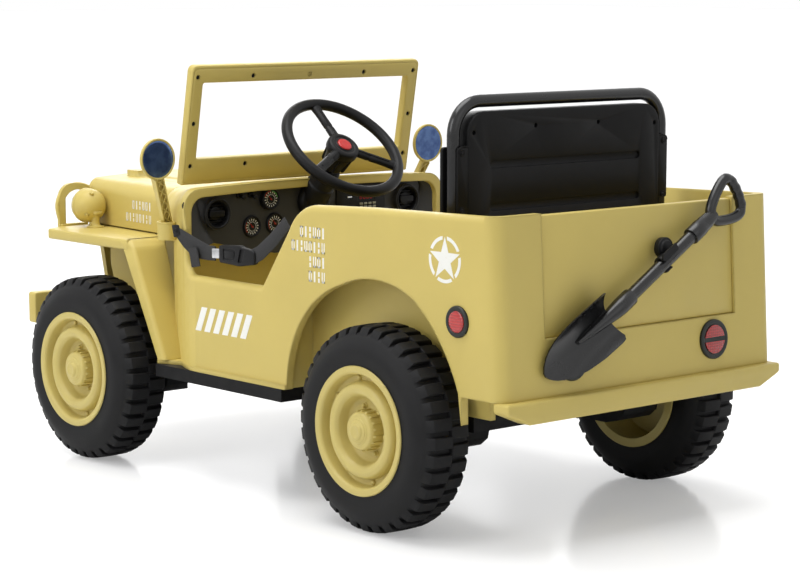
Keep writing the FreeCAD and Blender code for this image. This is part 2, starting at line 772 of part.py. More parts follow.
def make_chassis():
    top = "dim.tray_low_z + dim.tray_depth"
    nose_top = "dim.tray_low_z + dim.nose_depth"
    front = "dim.overall_length / 2 - dim.bumper_depth"
    tray = block("tray", ("dim.tray_rear_x", "dim.tray_front_x"), both("", SILL),
                 ("dim.tray_low_z", top))
    under = block("tray_under", ("dim.tray_rear_x + 8", "dim.tray_front_x - 8"),
                  both("", f"{SILL} - 8"), ("dim.tray_low_z - 1", f"{top} - 4"))
    spine = block("spine", ("dim.tail_rear_x", front), both("", "dim.nose_half"), ("dim.tray_low_z", top))
    parts = [
        cut("tray_shell", tray, under), spine,
        block("nose_top", ("dim.cowl_front_x", front), both("", "dim.nose_half"), (top, nose_top)),
        block("tail", ("dim.tail_rear_x", "dim.tray_rear_x + 8"), both("", "dim.tail_half"),
              ("dim.tray_low_z", top)),
        block("tail_cross", ("dim.tail_rear_x", "dim.tail_rear_x + 30"),
              both("", "dim.house_inner_y - 12"), ("dim.tray_low_z - 6", "dim.tail_bottom_z + 20")),
        block("steer_bracket", ("dim.bracket_x - 7", "dim.bracket_x + 7"), both("", "18"),
              (nose_top, "dim.bracket_top_z")),
    ]
    for side in (1, -1):
        rail = sorted_pair(side, "70", "100")
        parts.append(block(f"bumper_arm_{side}", ("dim.rear_bumper_x + 34", "dim.tail_rear_x + 4"), rail,
                           ("dim.rear_bumper_low_z + 4", "dim.tail_bottom_z")))
        parts.append(block(f"nose_arm_{side}", (f"{front} - 60", front), rail,
                           (nose_top, "dim.grille_low_z")))
    bearing = steering_rod("bearing", "dim.shaft_radius + dim.gap", "290", "90")
    node("chassis", cut("chassis", join("chassis_body", *parts), bearing))
    node("battery", block("battery", ("dim.battery_x", "dim.battery_x + dim.battery_length"),
                          both("", "dim.battery_width / 2"), (top, f"{top} + dim.battery_height")))


# Wheels: bar-lugged tyres on dished wheels, each turning freely on its axle.
def tyre_shape():
    """A tyre about the Y axis: a rounded carcass under two staggered rows of bar lugs."""
    middle = (dim.tyre_inner_y + dim.tyre_outer_y) / 2
    half = (dim.tyre_outer_y - dim.tyre_inner_y) / 2
    tread = (dim.tread_outer_y - dim.tread_inner_y) / 2
    root = dim.tyre_radius - dim.lug_depth
    bore = number(BEAD) + dim.gap
    rib = dim.tyre_radius - 1
    profile = [(half, bore), (half, bore + 12), (half + 1, bore + 26), (tread + 8, root - 7),
               (tread, root), (dim.rib_width / 2, root + 1), (dim.rib_width / 2, rib)]
    ring = [Vector(0, middle + y, r) for y, r in profile]
    ring += [Vector(0, middle - y, r) for y, r in reversed(profile)]
    carcass = Part.Face(Part.makePolygon(ring + ring[:1])).revolve(Vector(), Vector(0, 1, 0), 360)
    pitch = 360 / dim.lug_count
    width = 2 * math.pi * dim.tyre_radius / dim.lug_count * dim.lug_share
    crest = math.sqrt(dim.tyre_radius ** 2 - (width / 2) ** 2) - 0.02
    lugs = []
    for side in (1, -1):
        side_view = [(0.4, root - 3), (0.4, crest), (tread - 5, crest - 0.8), (tread + 3, crest - 5),
                     (tread + 6.5, root - 8), (tread, root - 5)]
        corners = [Vector(-width / 2, middle + side * y, r) for y, r in side_view]
        lug = Part.Face(Part.makePolygon(corners + corners[:1])).extrude(Vector(width, 0, 0))
        for i in range(int(dim.lug_count)):
            turned_lug = lug.copy()
            turned_lug.rotate(Vector(), Vector(0, 1, 0), pitch * (i + (0 if side > 0 else 0.5)))
            lugs.append(turned_lug)
    return carcass.multiFuse(lugs)


def wheel_profile(side):
    """Half of the wheel's section as (place along Y, radius): hub, dish, raised ring and rim."""
    inner, outer, hub = "dim.rim_inner_y", "dim.rim_outer_y", "dim.hub_outer_y"
    rim, bead = RIM, BEAD
    points = [
        ("dim.hub_inner_y", "dim.axle_radius + dim.axle_clearance"),
        ("dim.hub_inner_y", "dim.hub_radius - 10"),
        (f"{outer} - 38", "dim.hub_radius - 8"),
        (f"{outer} - 35", f"{BEAD} - 24"),
        (f"{outer} - 40", f"{bead} - 7"),
        (f"{inner}", f"{bead} - 7"),
        (f"{inner}", rim),
        (f"{inner} + 2.7", rim),
        (f"{inner} + 2.7", bead),
        (f"{outer} - 2.2", bead),
        (f"{outer} - 2.2", rim),
        (outer, f"{rim} - 1.5"),
        (outer, f"{bead} - 2"),
        (f"{outer} - 3", f"{bead} - 5"),
        (f"{outer} - 20", f"{bead} - 8"),
        (f"{outer} - 21", f"{RING} + 1"),
        (f"{outer} - 12", RING),
        (f"{outer} - 4", f"{RING} - 6"),
        (f"{outer} - 3", f"{RING} - 13"),
        (f"{outer} - 7", f"{RING} - 20"),
        (f"{outer} - 25", f"{RING} - 26"),
        (f"{outer} - 29", f"{RING} - 32"),
        (f"{outer} - 29", "dim.hub_radius"),
        (f"{hub} - 12", "dim.hub_radius"),
        (f"{hub} - 8", "dim.hub_radius - 3"),
        (f"{hub} - 7", "dim.hub_radius - 10"),
        (f"{hub} - 2", "dim.hub_radius - 12"),
        (hub, "dim.hub_radius - 20"),
        (hub, "0"),
        ("dim.axle_end_y + 1", "0"),
        ("dim.axle_end_y + 1", "dim.axle_radius + dim.axle_clearance"),
    ]
    return [(f"{side} * ({y})", r) for y, r in points]


def make_wheels():
    tyre = tyre_shape()
    mirrored = tyre.mirror(Vector(), Vector(0, 1, 0))
    for end, axle in (("front", "dim.front_axle_x"), ("rear", "dim.rear_axle_x")):
        for side, hand, shape in ((1, "left", tyre), (-1, "right", mirrored)):
            name = f"{end}_{hand}"
            node(f"tyre_{name}", place(solid(f"tyre_{name}", shape), axle, "0", "dim.tyre_radius"))
            wheel = turned(f"wheel_{name}", wheel_profile(side))
            node(f"wheel_{name}", place(wheel, axle, "0", "dim.tyre_radius"))


# Bonnet, grille and fenders.
def make_bonnet():
    low = dim.fender_top_z + dim.bonnet_gap
    rear, front = dim.bonnet_rear_x, dim.bonnet_front_x

    def shell(inset, start, end):
        wires = []
        for x, half, corner in ((rear, dim.bonnet_rear_half, dim.bonnet_rear_corner),
                                (front, dim.bonnet_front_half, dim.bonnet_front_corner)):
            top = dim.bonnet_top_z - inset
            wires.append(hoop_wire(x, half - inset, top, corner - inset * 0.6, low - inset))
        return Part.makeLoft(wires, True, True)

    outer = shell(0, rear, front)
    inner = shell(dim.bonnet_skin, rear, front)
    trimmed = Part.makeBox(front - rear - 2 * dim.bonnet_skin, 2 * dim.half_width, dim.cowl_top_z,
                           Vector(rear + dim.bonnet_skin, -dim.half_width, low - 60))
    rests = []
    for side in (1, -1):
        rest = Part.makeBox(dim.rest_length, dim.rest_width, dim.rest_height + dim.crown,
                            Vector(dim.rest_x, side * dim.rest_y - dim.rest_width / 2, dim.bonnet_top_z - dim.crown))
        rests.append(rest)
    shape = outer.cut(inner.common(trimmed)).multiFuse(rests)
    node("bonnet", solid("bonnet", shape))


def make_grille():
    x, depth = dim.bonnet_front_x, dim.grille_depth
    half, top, waist = dim.bonnet_front_half, dim.bonnet_top_z, dim.grille_waist_half
    panel = Part.Face(hoop_wire(x, half, top, dim.bonnet_front_corner, dim.fender_top_z - dim.fender_lip))
    lower = Part.Face(Part.makePolygon([
        Vector(x, -waist, dim.fender_top_z - dim.fender_lip), Vector(x, waist, dim.fender_top_z - dim.fender_lip),
        Vector(x, dim.grille_low_half, dim.grille_low_z), Vector(x, -dim.grille_low_half, dim.grille_low_z),
        Vector(x, -waist, dim.fender_top_z - dim.fender_lip)]))
    shape = panel.extrude(Vector(depth, 0, 0)).fuse(lower.extrude(Vector(depth, 0, 0)))
    slots = []
    first = -(dim.slot_count - 1) / 2 * dim.slot_pitch
    for i in range(int(dim.slot_count)):
        middle = first + i * dim.slot_pitch
        r = dim.slot_width / 2
        slot = Part.makeBox(depth + 2, 2 * r, dim.slot_high_z - dim.slot_low_z,
                            Vector(x - 1, middle - r, dim.slot_low_z))
        for z in (dim.slot_low_z, dim.slot_high_z):
            slot = slot.fuse(Part.makeCylinder(r, depth + 2, Vector(x - 1, middle, z), Vector(1, 0, 0)))
        slots.append(slot)
    guards = [lamp_guard(1), lamp_guard(-1)]
    shape = shape.cut(Part.makeCompound(slots)).multiFuse(guards).removeSplitter()
    node("grille_panel", solid("grille_panel", shape))


def lamp_guard(side):
    """The arched bar around a headlamp, from the fender up and over to the grille panel."""
    x = dim.bonnet_front_x
    bar, foot = dim.guard_bar, dim.half_width - dim.guard_inset
    low, top = dim.fender_top_z - dim.fender_lip + 3, dim.guard_top_z
    rise = top - 26

    def run(inset):
        outer = foot - inset
        crown = top - inset
        end = dim.bonnet_front_half - 8
        return [Vector(x, outer, low), Vector(x, outer, rise), Vector(x, outer - 9, rise + (crown - rise) * 0.72),
                Vector(x, outer - 34, crown), Vector(x, end, crown - 12)]

    out, inn = run(0), run(bar * 1.6)
    edges = [
        Part.makeLine(out[0], out[1]), arc(out[1], out[2], out[3]), Part.makeLine(out[3], out[4]),
        Part.makeLine(out[4], inn[4]), Part.makeLine(inn[4], inn[3]), arc(inn[3], inn[2], inn[1]),
        Part.makeLine(inn[1], inn[0]), Part.makeLine(inn[0], out[0]),
    ]
    bar_shape = face_of(edges).extrude(Vector(bar, 0, 0))
    if side < 0:
        bar_shape = bar_shape.mirror(Vector(), Vector(0, 1, 0))
    return bar_shape


def make_fenders(cowl):
    top, lip, skin = dim.fender_top_z, dim.fender_lip, dim.sheet
    half, inner = number(FENDER), dim.fender_inner_y
    back = dim.cowl_bend_x - 2

    def plan(inset, back_x, inner_y):
        return [Vector(back_x, half - inset, top), Vector(dim.fender_front_x, half - inset, top),
                Vector(dim.fender_nose_x - inset, half - dim.fender_nose_bevel - inset * 0.4, top),
                Vector(dim.fender_nose_x - inset, inner_y, top), Vector(back_x, inner_y, top)]

    def slab(points, low, high):
        face = Part.Face(Part.makePolygon(points + points[:1]))
        face.translate(Vector(0, 0, low - top))
        return face.extrude(Vector(0, 0, high - low))

    plate = slab(plan(0, back, inner), top - lip, top)
    under = slab(plan(skin, back - 5, inner - 1), top - lip - 1, top - skin)
    deck = plate.cut(under)
    sill = dim.sill_top_z
    crease_x = number(SKIRT_X)
    foot_x = crease_x - dim.skirt_foot
    wheel_side = [Vector(dim.fender_bend_x + 10, 0, top - skin), Vector(crease_x - dim.skirt_flat, 0, sill)]
    ridge = [Vector(dim.fender_bend_x, 0, top - 0.5), Vector(foot_x, 0, sill)]
    side_face = Part.Face(Part.makePolygon([wheel_side[0], ridge[0], ridge[1], wheel_side[1], wheel_side[0]]))
    side_face.translate(Vector(0, half - skin - 1, 0))
    flange = side_face.extrude(Vector(0, skin + 1, 0))
    crease = dim.skirt_crease_y
    lower = Part.Wire(Part.makePolygon([
        Vector(ridge[1].x, half - 1, sill), Vector(crease_x, crease, sill),
        Vector(crease_x + skin * 1.3, crease, sill), Vector(ridge[1].x + skin * 1.6, half - 1, sill),
        Vector(ridge[1].x, half - 1, sill)]))
    upper = Part.Wire(Part.makePolygon([
        Vector(ridge[0].x, half - 1, top - 1), Vector(dim.skirt_crease_top_x - 12, crease, top - 1),
        Vector(dim.skirt_crease_top_x - 12 + skin * 1.3, crease, top - 1),
        Vector(ridge[0].x + skin * 1.6, half - 1, top - 1), Vector(ridge[0].x, half - 1, top - 1)]))
    skirt = Part.makeLoft([lower, upper], True, True)
    wall_face = face_of([
        Part.makeLine(Vector(dim.cowl_front_x, inner, top - 1), Vector(dim.cowl_front_x, inner, sill + 56)),
        Part.makeLine(Vector(dim.cowl_front_x, inner, sill + 56), Vector(490, inner, sill + 56)),
        arc(Vector(490, inner, sill + 56), Vector(540, inner, sill + 76), Vector(565, inner, sill + 130)),
        Part.makeLine(Vector(565, inner, sill + 130), Vector(565, inner, top - 1)),
        Part.makeLine(Vector(565, inner, top - 1), Vector(dim.cowl_front_x, inner, top - 1)),
    ])
    wall = wall_face.extrude(Vector(0, skin, 0))
    rear_wall = Part.makeBox(skin, crease - inner + 4, top - sill - 57,
                             Vector(dim.cowl_front_x, inner, sill + 56))
    shape = deck.multiFuse([flange, skirt, wall, rear_wall])
    left = cut("fender_left", solid("fender_shell", shape), cowl)
    node("fender_left", left)
    node("fender_right", twin("fender_right", left))


# Bumpers, tailgate, windscreen and dashboard.
def make_bumpers():
    front = "dim.overall_length / 2"
    edge = "dim.bumper_edge"
    half, low, top = BUMPER, "dim.front_bumper_low_z", "dim.front_bumper_top_z"
    node("front_bumper", pad("front_bumper", "YZ_Plane", [
        (f"-{half}", f"{low} + {edge}"), (f"-{half}", f"{top} - {edge}"), (f"-{half} + {edge}", top),
        (f"{half} - {edge}", top), (half, f"{top} - {edge}"), (half, f"{low} + {edge}"),
        (f"{half} - {edge}", low), (f"-{half} + {edge}", low)], f"{front} - dim.bumper_depth", front))
    low, top, narrow = "dim.rear_bumper_low_z", "dim.tail_bottom_z", f"({BUMPER} - dim.rear_bumper_bevel)"
    node("rear_bumper", pad("rear_bumper", "YZ_Plane", [
        (f"-{narrow}", low), (f"-{half}", f"{low} + 19"), (f"-{half}", top), (half, top),
        (half, f"{low} + 19"), (narrow, low)], "dim.rear_bumper_x", "dim.rear_bumper_x + 34"))


def rear_at(height):
    """Formula of the leaning rear face's place at a height."""
    return (f"(dim.rear_low_x + (({height}) - dim.rear_low_z) * (dim.rear_top_x - dim.rear_low_x)"
            f" / (dim.rear_top_z - dim.rear_low_z))")


def tailgate_outline(clearance, top):
    low = f"dim.tailgate_low_z - ({clearance})"
    front = f"dim.tailgate_recess + dim.wall + ({clearance})"
    rear = "dim.tailgate_recess" if clearance == "0" else "-30"
    return [(f"{rear_at(low)} + {rear}", low), (f"{rear_at(low)} + {front}", low),
            (f"{rear_at(top)} + {front}", top), (f"{rear_at(top)} + {rear}", top)]


def make_tailgate():
    node("tailgate", pad("tailgate", "XZ_Plane", tailgate_outline("0", "dim.rear_top_z - 4"),
                         "-dim.tailgate_half", "dim.tailgate_half"))


def make_windscreen(cowl):
    body = doc.addObject("PartDesign::Body", "screen_body")
    half, high, low = SCREEN, "dim.screen_top", "dim.screen_low"
    opening = f"({SCREEN} - dim.screen_post)"
    corner = "dim.screen_corner"
    rim = outline(body, "screen_outline", "YZ_Plane", [
        (f"-{half}", low), (f"-{half}", f"{high} - {corner}"), (f"-{half} + {corner}", high),
        (f"{half} - {corner}", high), (half, f"{high} - {corner}"), (half, low)])
    feature = body.newObject("PartDesign::Pad", "screen_pad")
    feature.Profile = rim
    feature.setExpression("Length", "dim.screen_depth")
    window = outline(body, "window_outline", "YZ_Plane", [
        (f"-{opening}", "dim.window_low"), (f"-{opening}", "dim.window_top"),
        (opening, "dim.window_top"), (opening, "dim.window_low")])
    hole = body.newObject("PartDesign::Pocket", "window_pocket")
    hole.Profile = window
    hole.Type = "ThroughAll"
    hole.Midplane = True
    body.Placement = Placement(Vector(), Rotation(Vector(0, -1, 0), dim.screen_lean))
    place(body, "dim.screen_base_x", "0", "dim.screen_base_z")
    node("windscreen_frame", cut("windscreen_frame", body, cowl))


def make_dashboard():
    rear = "dim.dash_rear_x"
    side, middle = "dim.dash_side_z", "dim.dash_middle_z"
    slab = pad("dash_slab", "YZ_Plane", [
        ("-dim.half_width", side), ("-dim.half_width", "dim.cowl_top_z"), ("dim.half_width", "dim.cowl_top_z"),
        ("dim.half_width", side), ("dim.vent_y", side), ("85", middle), ("-85", middle), ("-dim.vent_y", side)],
        rear, f"{rear} + dim.dash_depth")
    inside = cowl_envelope("dash_space", dim.wall + dim.gap, dim.sill_z, dim.cowl_front_x - dim.firewall)
    parts, holes = [shared("dash_panel", slab, inside)], []
    for side in (1, -1):
        where = (f"{rear} - 10", f"{side} * dim.vent_y", "dim.vent_z")
        parts.append(rod(f"vent_{side}", "dim.vent_radius", "12", where, (1, 0, 0)))
        holes.append(rod(f"vent_bowl_{side}", "dim.vent_radius - 5", "16", where, (1, 0, 0)))
    boss_low = f"(({rear} - dim.steer_x) / sin(dim.steer_lean))"
    parts.append(steering_rod("column_boss", "dim.shaft_radius * 2.5", f"{boss_low} - 12", "34"))
    holes.append(steering_rod("column_bore", "dim.shaft_radius + dim.gap", f"{boss_low} - 40", "90"))
    node("dashboard", cut("dashboard", join("dash_body", *parts), *holes))


# Seat, strap, lamps and mirrors.
def make_seat():
    rear = "dim.seat_back_x"
    low = "dim.seat_floor_z"
    top = "dim.cushion_top_z"
    front = "dim.cushion_front_x"
    node("seat_base", pad("seat_base", "XZ_Plane", [
        (f"{SEAT_FRONT} + dim.gap", low), (front, low), (f"{front} + 6", f"({low} + {top}) / 2"), (front, top),
        (f"{rear} + 60", f"{top} - 6"), (f"{SEAT_FRONT} + dim.gap", f"{top} - 6")],
        "-(dim.house_inner_y - dim.sheet - dim.gap)", "dim.house_inner_y - dim.sheet - dim.gap"))
    half, high, corner = "dim.seat_half", "dim.seat_top_z", "dim.seat_corner"
    bed = "dim.bed_floor_z + dim.ledge_rise"
    core = pad("seat_core", "YZ_Plane", [
        (f"-{half}", bed), (f"-{half}", f"{high} - {corner}"), (f"-{half} + {corner} * 0.3", f"{high} - {corner} * 0.3"),
        (f"-{half} + {corner}", high), (f"{half} - {corner}", high),
        (f"{half} - {corner} * 0.3", f"{high} - {corner} * 0.3"),
        (half, f"{high} - {corner}"), (half, bed)], rear, f"{rear} + dim.seat_depth")
    wing = "dim.wing_half"
    behind = block("seat_wing_rear", (rear, f"{rear} + dim.sheet - dim.gap"), both("", wing),
                   ("dim.wing_low_z", "dim.wing_top_z"))
    ahead = block("seat_wing_front", ("dim.hoop_x + dim.hoop_radius + dim.gap", SEAT_FRONT),
                  both("", f"{wing} + 9"), (bed, "dim.wing_top_z"))
    slots = []
    reach, width = "dim.seat_slot_half", "dim.seat_slot_width"
    for height in ("dim.seat_slot_low_z", "dim.seat_slot_high_z"):
        slots.append(block("seat_slot", (f"{rear} - 1", f"{rear} + dim.seat_slot_depth"), both("", reach),
                           (f"{height} - {width} / 2", f"{height} + {width} / 2")))
        for end in (f"-{reach}", reach):
            slots.append(rod("seat_slot_end", f"{width} / 2", "dim.seat_slot_depth + 1",
                             (f"{rear} - 1", end, height), (1, 0, 0)))
    node("seat_back", cut("seat_back", join("seat_back_body", core, behind, ahead), *slots))
    node("seat_hoop", solid("seat_hoop", hoop_shape()))


def hoop_shape():
    """The tube that stands behind the seat back as a grab rail."""
    x, half, top, bend = dim.hoop_x, dim.hoop_half, dim.hoop_top_z, dim.hoop_bend
    low = dim.bed_floor_z + dim.ledge_rise
    turn = bend * (1 - math.sqrt(0.5))
    path = Part.Wire([
        Part.makeLine(Vector(x, -half, low), Vector(x, -half, top - bend)),
        arc(Vector(x, -half, top - bend), Vector(x, turn - half, top - turn), Vector(x, bend - half, top)),
        Part.makeLine(Vector(x, bend - half, top), Vector(x, half - bend, top)),
        arc(Vector(x, half - bend, top), Vector(x, half - turn, top - turn), Vector(x, half, top - bend)),
        Part.makeLine(Vector(x, half, top - bend), Vector(x, half, low)),
    ])
    section = Part.Wire([Part.makeCircle(dim.hoop_radius, Vector(x, -half, low))])
    return path.makePipeShell([section], True, False)


def make_strap():
    front, high = "dim.cowl_rear_x", "dim.strap_front_z"
    width = "dim.strap_width"
    tongue = "dim.buckle_x + dim.buckle_length / 2 + 14"
    rear = "dim.buckle_x - dim.buckle_length / 2"
    mid = "dim.buckle_z"
    low_y, high_y = f"{STRAP_Y} - dim.strap_thick", STRAP_Y
    runs = [
        pad("strap_front", "XZ_Plane", [
            (f"{front} - 3", f"{high} + {width} / 2"), (f"{front} - 3", f"{high} - {width} / 2"),
            (f"{front} - 44", f"{high} - 30"), (tongue, f"{mid} - {width} / 2"),
            (tongue, f"{mid} + {width} / 2"), (f"{front} - 40", f"{high} - 2")], low_y, high_y),
        block("strap_tab", (f"{front} - 3", front), (low_y, "dim.half_width - 2"),
              (f"{high} - {width} / 2", f"{high} + {width} / 2")),
        pad("strap_rear", "XZ_Plane", [
            (rear, f"{mid} + {width} / 2"), (rear, f"{mid} - {width} / 2"),
            ("dim.riser_x + 2", f"{mid} - {width} / 2 + 4"), ("dim.riser_x + 2", f"{mid} + {width} / 2 + 4")],
            "dim.half_width - dim.wall - dim.strap_thick", "dim.half_width - dim.wall"),
    ]
    node("door_strap", join("door_strap", runs[0], runs[1]))
    node("door_strap_rear", runs[2])
    middle = f"{low_y} + dim.strap_thick / 2"
    node("strap_buckle", block("strap_buckle", (rear, tongue),
                               (f"{middle} - dim.buckle_depth - 1", f"{low_y}"),
                               (f"{mid} - 19", f"{mid} + 19")))


def make_lamps(tub):
    floor = "dim.fender_top_z"
    centre = ("dim.headlamp_x", "dim.headlamp_y", "dim.headlamp_z")
    head = join("headlamp_left", ball("lamp_ball", "dim.headlamp_radius", centre),
                rod("lamp_post", "dim.lamp_post_radius", f"dim.headlamp_z - {floor}",
                    ("dim.lamp_post_x", "dim.headlamp_y", floor)),
                rod("lamp_collar", "dim.lamp_post_radius + 6", "7", ("dim.lamp_post_x", "dim.headlamp_y", floor)))
    nose = block("lamp_front", ("dim.headlamp_x + 10", "dim.headlamp_x + 60"), ("100", "300"), ("380", "470"))
    lamp = node("headlamp_left", cut("headlamp_left_body", head, nose))
    node("headlamp_right", twin("headlamp_right_body", lamp))
    rear = rear_at("dim.tail_lamp_z")
    disc = rod("tail_disc", "dim.tail_lamp_radius", "dim.lamp_proud + 6",
               (f"{rear} - dim.lamp_proud", "dim.tail_lamp_y", "dim.tail_lamp_z"), (1, 0, 0))
    lamp = node("tail_lamp_left", cut("tail_lamp_left_body", disc, tub))
    node("tail_lamp_right", twin("tail_lamp_right_body", lamp))
    marker = rod("marker_disc", "dim.marker_radius", "dim.lamp_proud",
                 ("dim.marker_x", "dim.half_width", "dim.marker_z"), (0, 1, 0))
    node("side_marker_left", marker)
    node("side_marker_right", twin("side_marker_right_body", marker))


def mirror_shape():
    """A round mirror on a tapering lattice arm above its socket."""
    base = Vector(dim.mirror_base_x, dim.half_width - dim.mirror_base_inset, dim.fender_top_z)
    foot = Vector(base.x, base.y, dim.mirror_base_top_z)
    head = Vector(dim.mirror_x, dim.half_width + dim.mirror_overhang, dim.mirror_z)
    socket = Part.makeCylinder(dim.mirror_base_radius, foot.z - base.z, base)
    disc = Part.makeCylinder(dim.mirror_radius, dim.mirror_depth, head, Vector(1, 0, 0))
    up = (head - foot).normalize()
    across = Vector(0, 1, 0)
    half = dim.mirror_post_width / 2
    bar = dim.mirror_bar
    knees = int(dim.mirror_knees)
    reach = head.z - foot.z - dim.mirror_radius + 3

    def strut(start, end):
        run = end - start
        piece = Part.makeBox(bar, bar, run.Length + bar / 2, Vector(-bar / 2, -bar / 2, -bar / 4))
        piece.Placement = Placement(start, Rotation(Vector(0, 0, 1), run))
        return piece

    step = reach / up.z / knees
    centre = dim.mirror_depth / 2
    lower = foot + Vector(centre / 2, 0, -1)
    struts = []
    for side in (1, -1):
        struts.append(strut(lower + across * (side * half), lower + across * (side * half) + up * (reach / up.z + 6)))
    for i in range(knees):
        side = 1 if i % 2 == 0 else -1
        start = lower + up * (i * step) + across * (side * half)
        end = lower + up * ((i + 1) * step) - across * (side * half)
        struts.append(strut(start, end))
    return socket.multiFuse([disc, *struts])


def make_mirrors():
    left = node("mirror_left", solid("mirror_left_body", mirror_shape()))
    node("mirror_right", twin("mirror_right_body", left))


# Shovel: drawn along its shaft, then laid across the tailgate.
def make_shovel():
    lean = (dim.rear_top_x - dim.rear_low_x) / (dim.rear_top_z - dim.rear_low_z)
    slope = math.radians(dim.shovel_slope)
    axis = Vector(-math.sin(slope) * lean, math.cos(slope), -math.sin(slope))
    frame = Placement(Vector(number(SHOVEL_X), dim.shovel_y, dim.shovel_z), Rotation(Vector(0, 0, 1), axis))
    length, radius, collar = dim.shaft_length, dim.handle_radius, dim.collar_radius
    shaft = Part.makeCylinder(radius, length + 20, Vector(0, 0, -length - 10))
    low_collar = Part.makeCylinder(collar, 36, Vector(0, 0, -6))
    neck = Part.makeCone(collar, collar * 0.45, 64, Vector(0, 0, 30))
    top_collar = Part.makeCylinder(collar, 28, Vector(0, 0, -length - 28))
    throat = Part.makeCone(collar * 0.7, collar, 16, Vector(0, 0, -length - 40))
    shape = shaft.multiFuse([low_collar, neck, top_collar, throat, grip_shape(), blade_shape()])
    shape.Placement = frame
    node("shovel", solid("shovel", shape))


def grip_shape():
    """The D-shaped grip above the shaft, a closed tube loop."""
    top = -dim.shaft_length - 28
    reach, half, tube = dim.grip_length, dim.grip_width / 2 - dim.grip_tube, dim.grip_tube
    left = [(half * 0.95, top - reach, dim.grip_bend), (half, top - reach * 0.74, dim.grip_bend * 2)]
    right = [(-y, z, bend) for y, z, bend in reversed(left)]
    corners = left + [(0, top, dim.grip_bend * 0.8)] + right
    path = rounded_wire([(Vector(0, y, z), bend) for y, z, bend in corners])
    middle = Vector(0, 0, top - reach)
    section = Part.Wire([Part.makeCircle(tube, middle, Vector(0, 1, 0))])
    return path.makePipeShell([section], True, True)


def rounded_wire(corners):
    """A closed run of straight edges joined by tangent arcs, from (corner, radius) pairs.

    The wire starts in the middle of the edge that joins the last corner to the first.
    """
    joins = []
    for i, (corner, radius) in enumerate(corners):
        back = (corners[i - 1][0] - corner).normalize()
        ahead = (corners[(i + 1) % len(corners)][0] - corner).normalize()
        half_angle = back.getAngle(ahead) / 2
        trim = radius / math.tan(half_angle)
        inward = (back + ahead).normalize()
        near = corner + inward * (radius / math.sin(half_angle) - radius)
        joins.append((corner + back * trim, near, corner + ahead * trim))
    start = (joins[-1][2] + joins[0][0]) * 0.5
    edges, last = [], start
    for first, near, second in joins:
        edges.append(Part.makeLine(last, first))
        edges.append(arc(first, near, second))
        last = second
    edges.append(Part.makeLine(last, start))
    return Part.Wire(edges)


def blade_shape():
    """The dished, pointed blade: a thin curved plate lofted from its shoulders to its tip."""
    length, half, thick = dim.blade_length, dim.blade_width / 2, dim.blade_thick
    start = dim.blade_start
    stations = ((0.0, 0.95, 1.0), (0.12, 1.0, 1.0), (0.4, 0.98, 0.92), (0.65, 0.82, 0.7), (0.83, 0.56, 0.42),
                (0.94, 0.3, 0.2), (1.0, 0.1, 0.06))
    wires = []
    for share, width, dish in stations:
        z = start + share * length
        w = half * width
        edge = dim.blade_seat - dish * dim.blade_dish
        outer = [Vector(edge, -w, z), Vector(dim.blade_seat, 0, z), Vector(edge, w, z)]
        inner = [p + Vector(thick, 0, 0) for p in outer]
        wires.append(Part.Wire([
            arc(*outer), Part.makeLine(outer[2], inner[2]),
            arc(inner[2], inner[1], inner[0]), Part.makeLine(inner[0], outer[0])]))
    return Part.makeLoft(wires, True, False)


def make_clip():
    turn = f"({rear_at('dim.clip_z')} - {rear_at('dim.shovel_z')})"
    shaft_x = f"({SHOVEL_X} + {turn})"
    start = f"({shaft_x} + dim.handle_radius + dim.gap)"
    rear = f"{rear_at('dim.clip_z')} + dim.tailgate_recess"
    base = rod("clip_base", "dim.clip_radius", f"{rear} - {start}",
               (start, "dim.clip_y", "dim.clip_z"), (1, 0, 0))
    node("shovel_clip", cut("shovel_clip", base, NODES["tailgate"]))


def main():
    make_tub()
    cowl = doc.getObject("cowl_outer")
    tub = doc.getObject("tub_outer")
    make_steering_wheel()
    make_steering_shaft()
    make_tie_rod()
    make_front_axle()
    make_knuckle()
    make_gear_housings()
    make_chassis()
    make_wheels()
    make_bonnet()
    make_grille()
    make_fenders(cowl)
    make_bumpers()
    make_tailgate()
    make_windscreen(cowl)
    make_dashboard()
    make_seat()
    make_strap()
    make_lamps(tub)
    make_mirrors()
    make_shovel()
    make_clip()
    doc.recompute()
    os.makedirs("parts", exist_ok=True)
    for label, thing in NODES.items():
        if "Invalid" in thing.State or "Error" in thing.State or thing.Shape.isNull() or not thing.Shape.isValid():
            raise RuntimeError(f"{label} did not build")
        thing.Shape.exportStep(f"parts/{label}.step")
    print(len(NODES), "sub-parts")


main()
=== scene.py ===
"""Looks of a sand-coloured ride-on army 4x4 car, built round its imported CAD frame.

Every length is in metres. +X points forward, +Y to the car's left and +Z up, as in the frame.
"""

import json
import logging
import math
from dataclasses import dataclass
from enum import Enum
from typing import Callable, Iterable, Optional, Sequence, Union

import bmesh
import bpy
from mathutils import Matrix, Vector

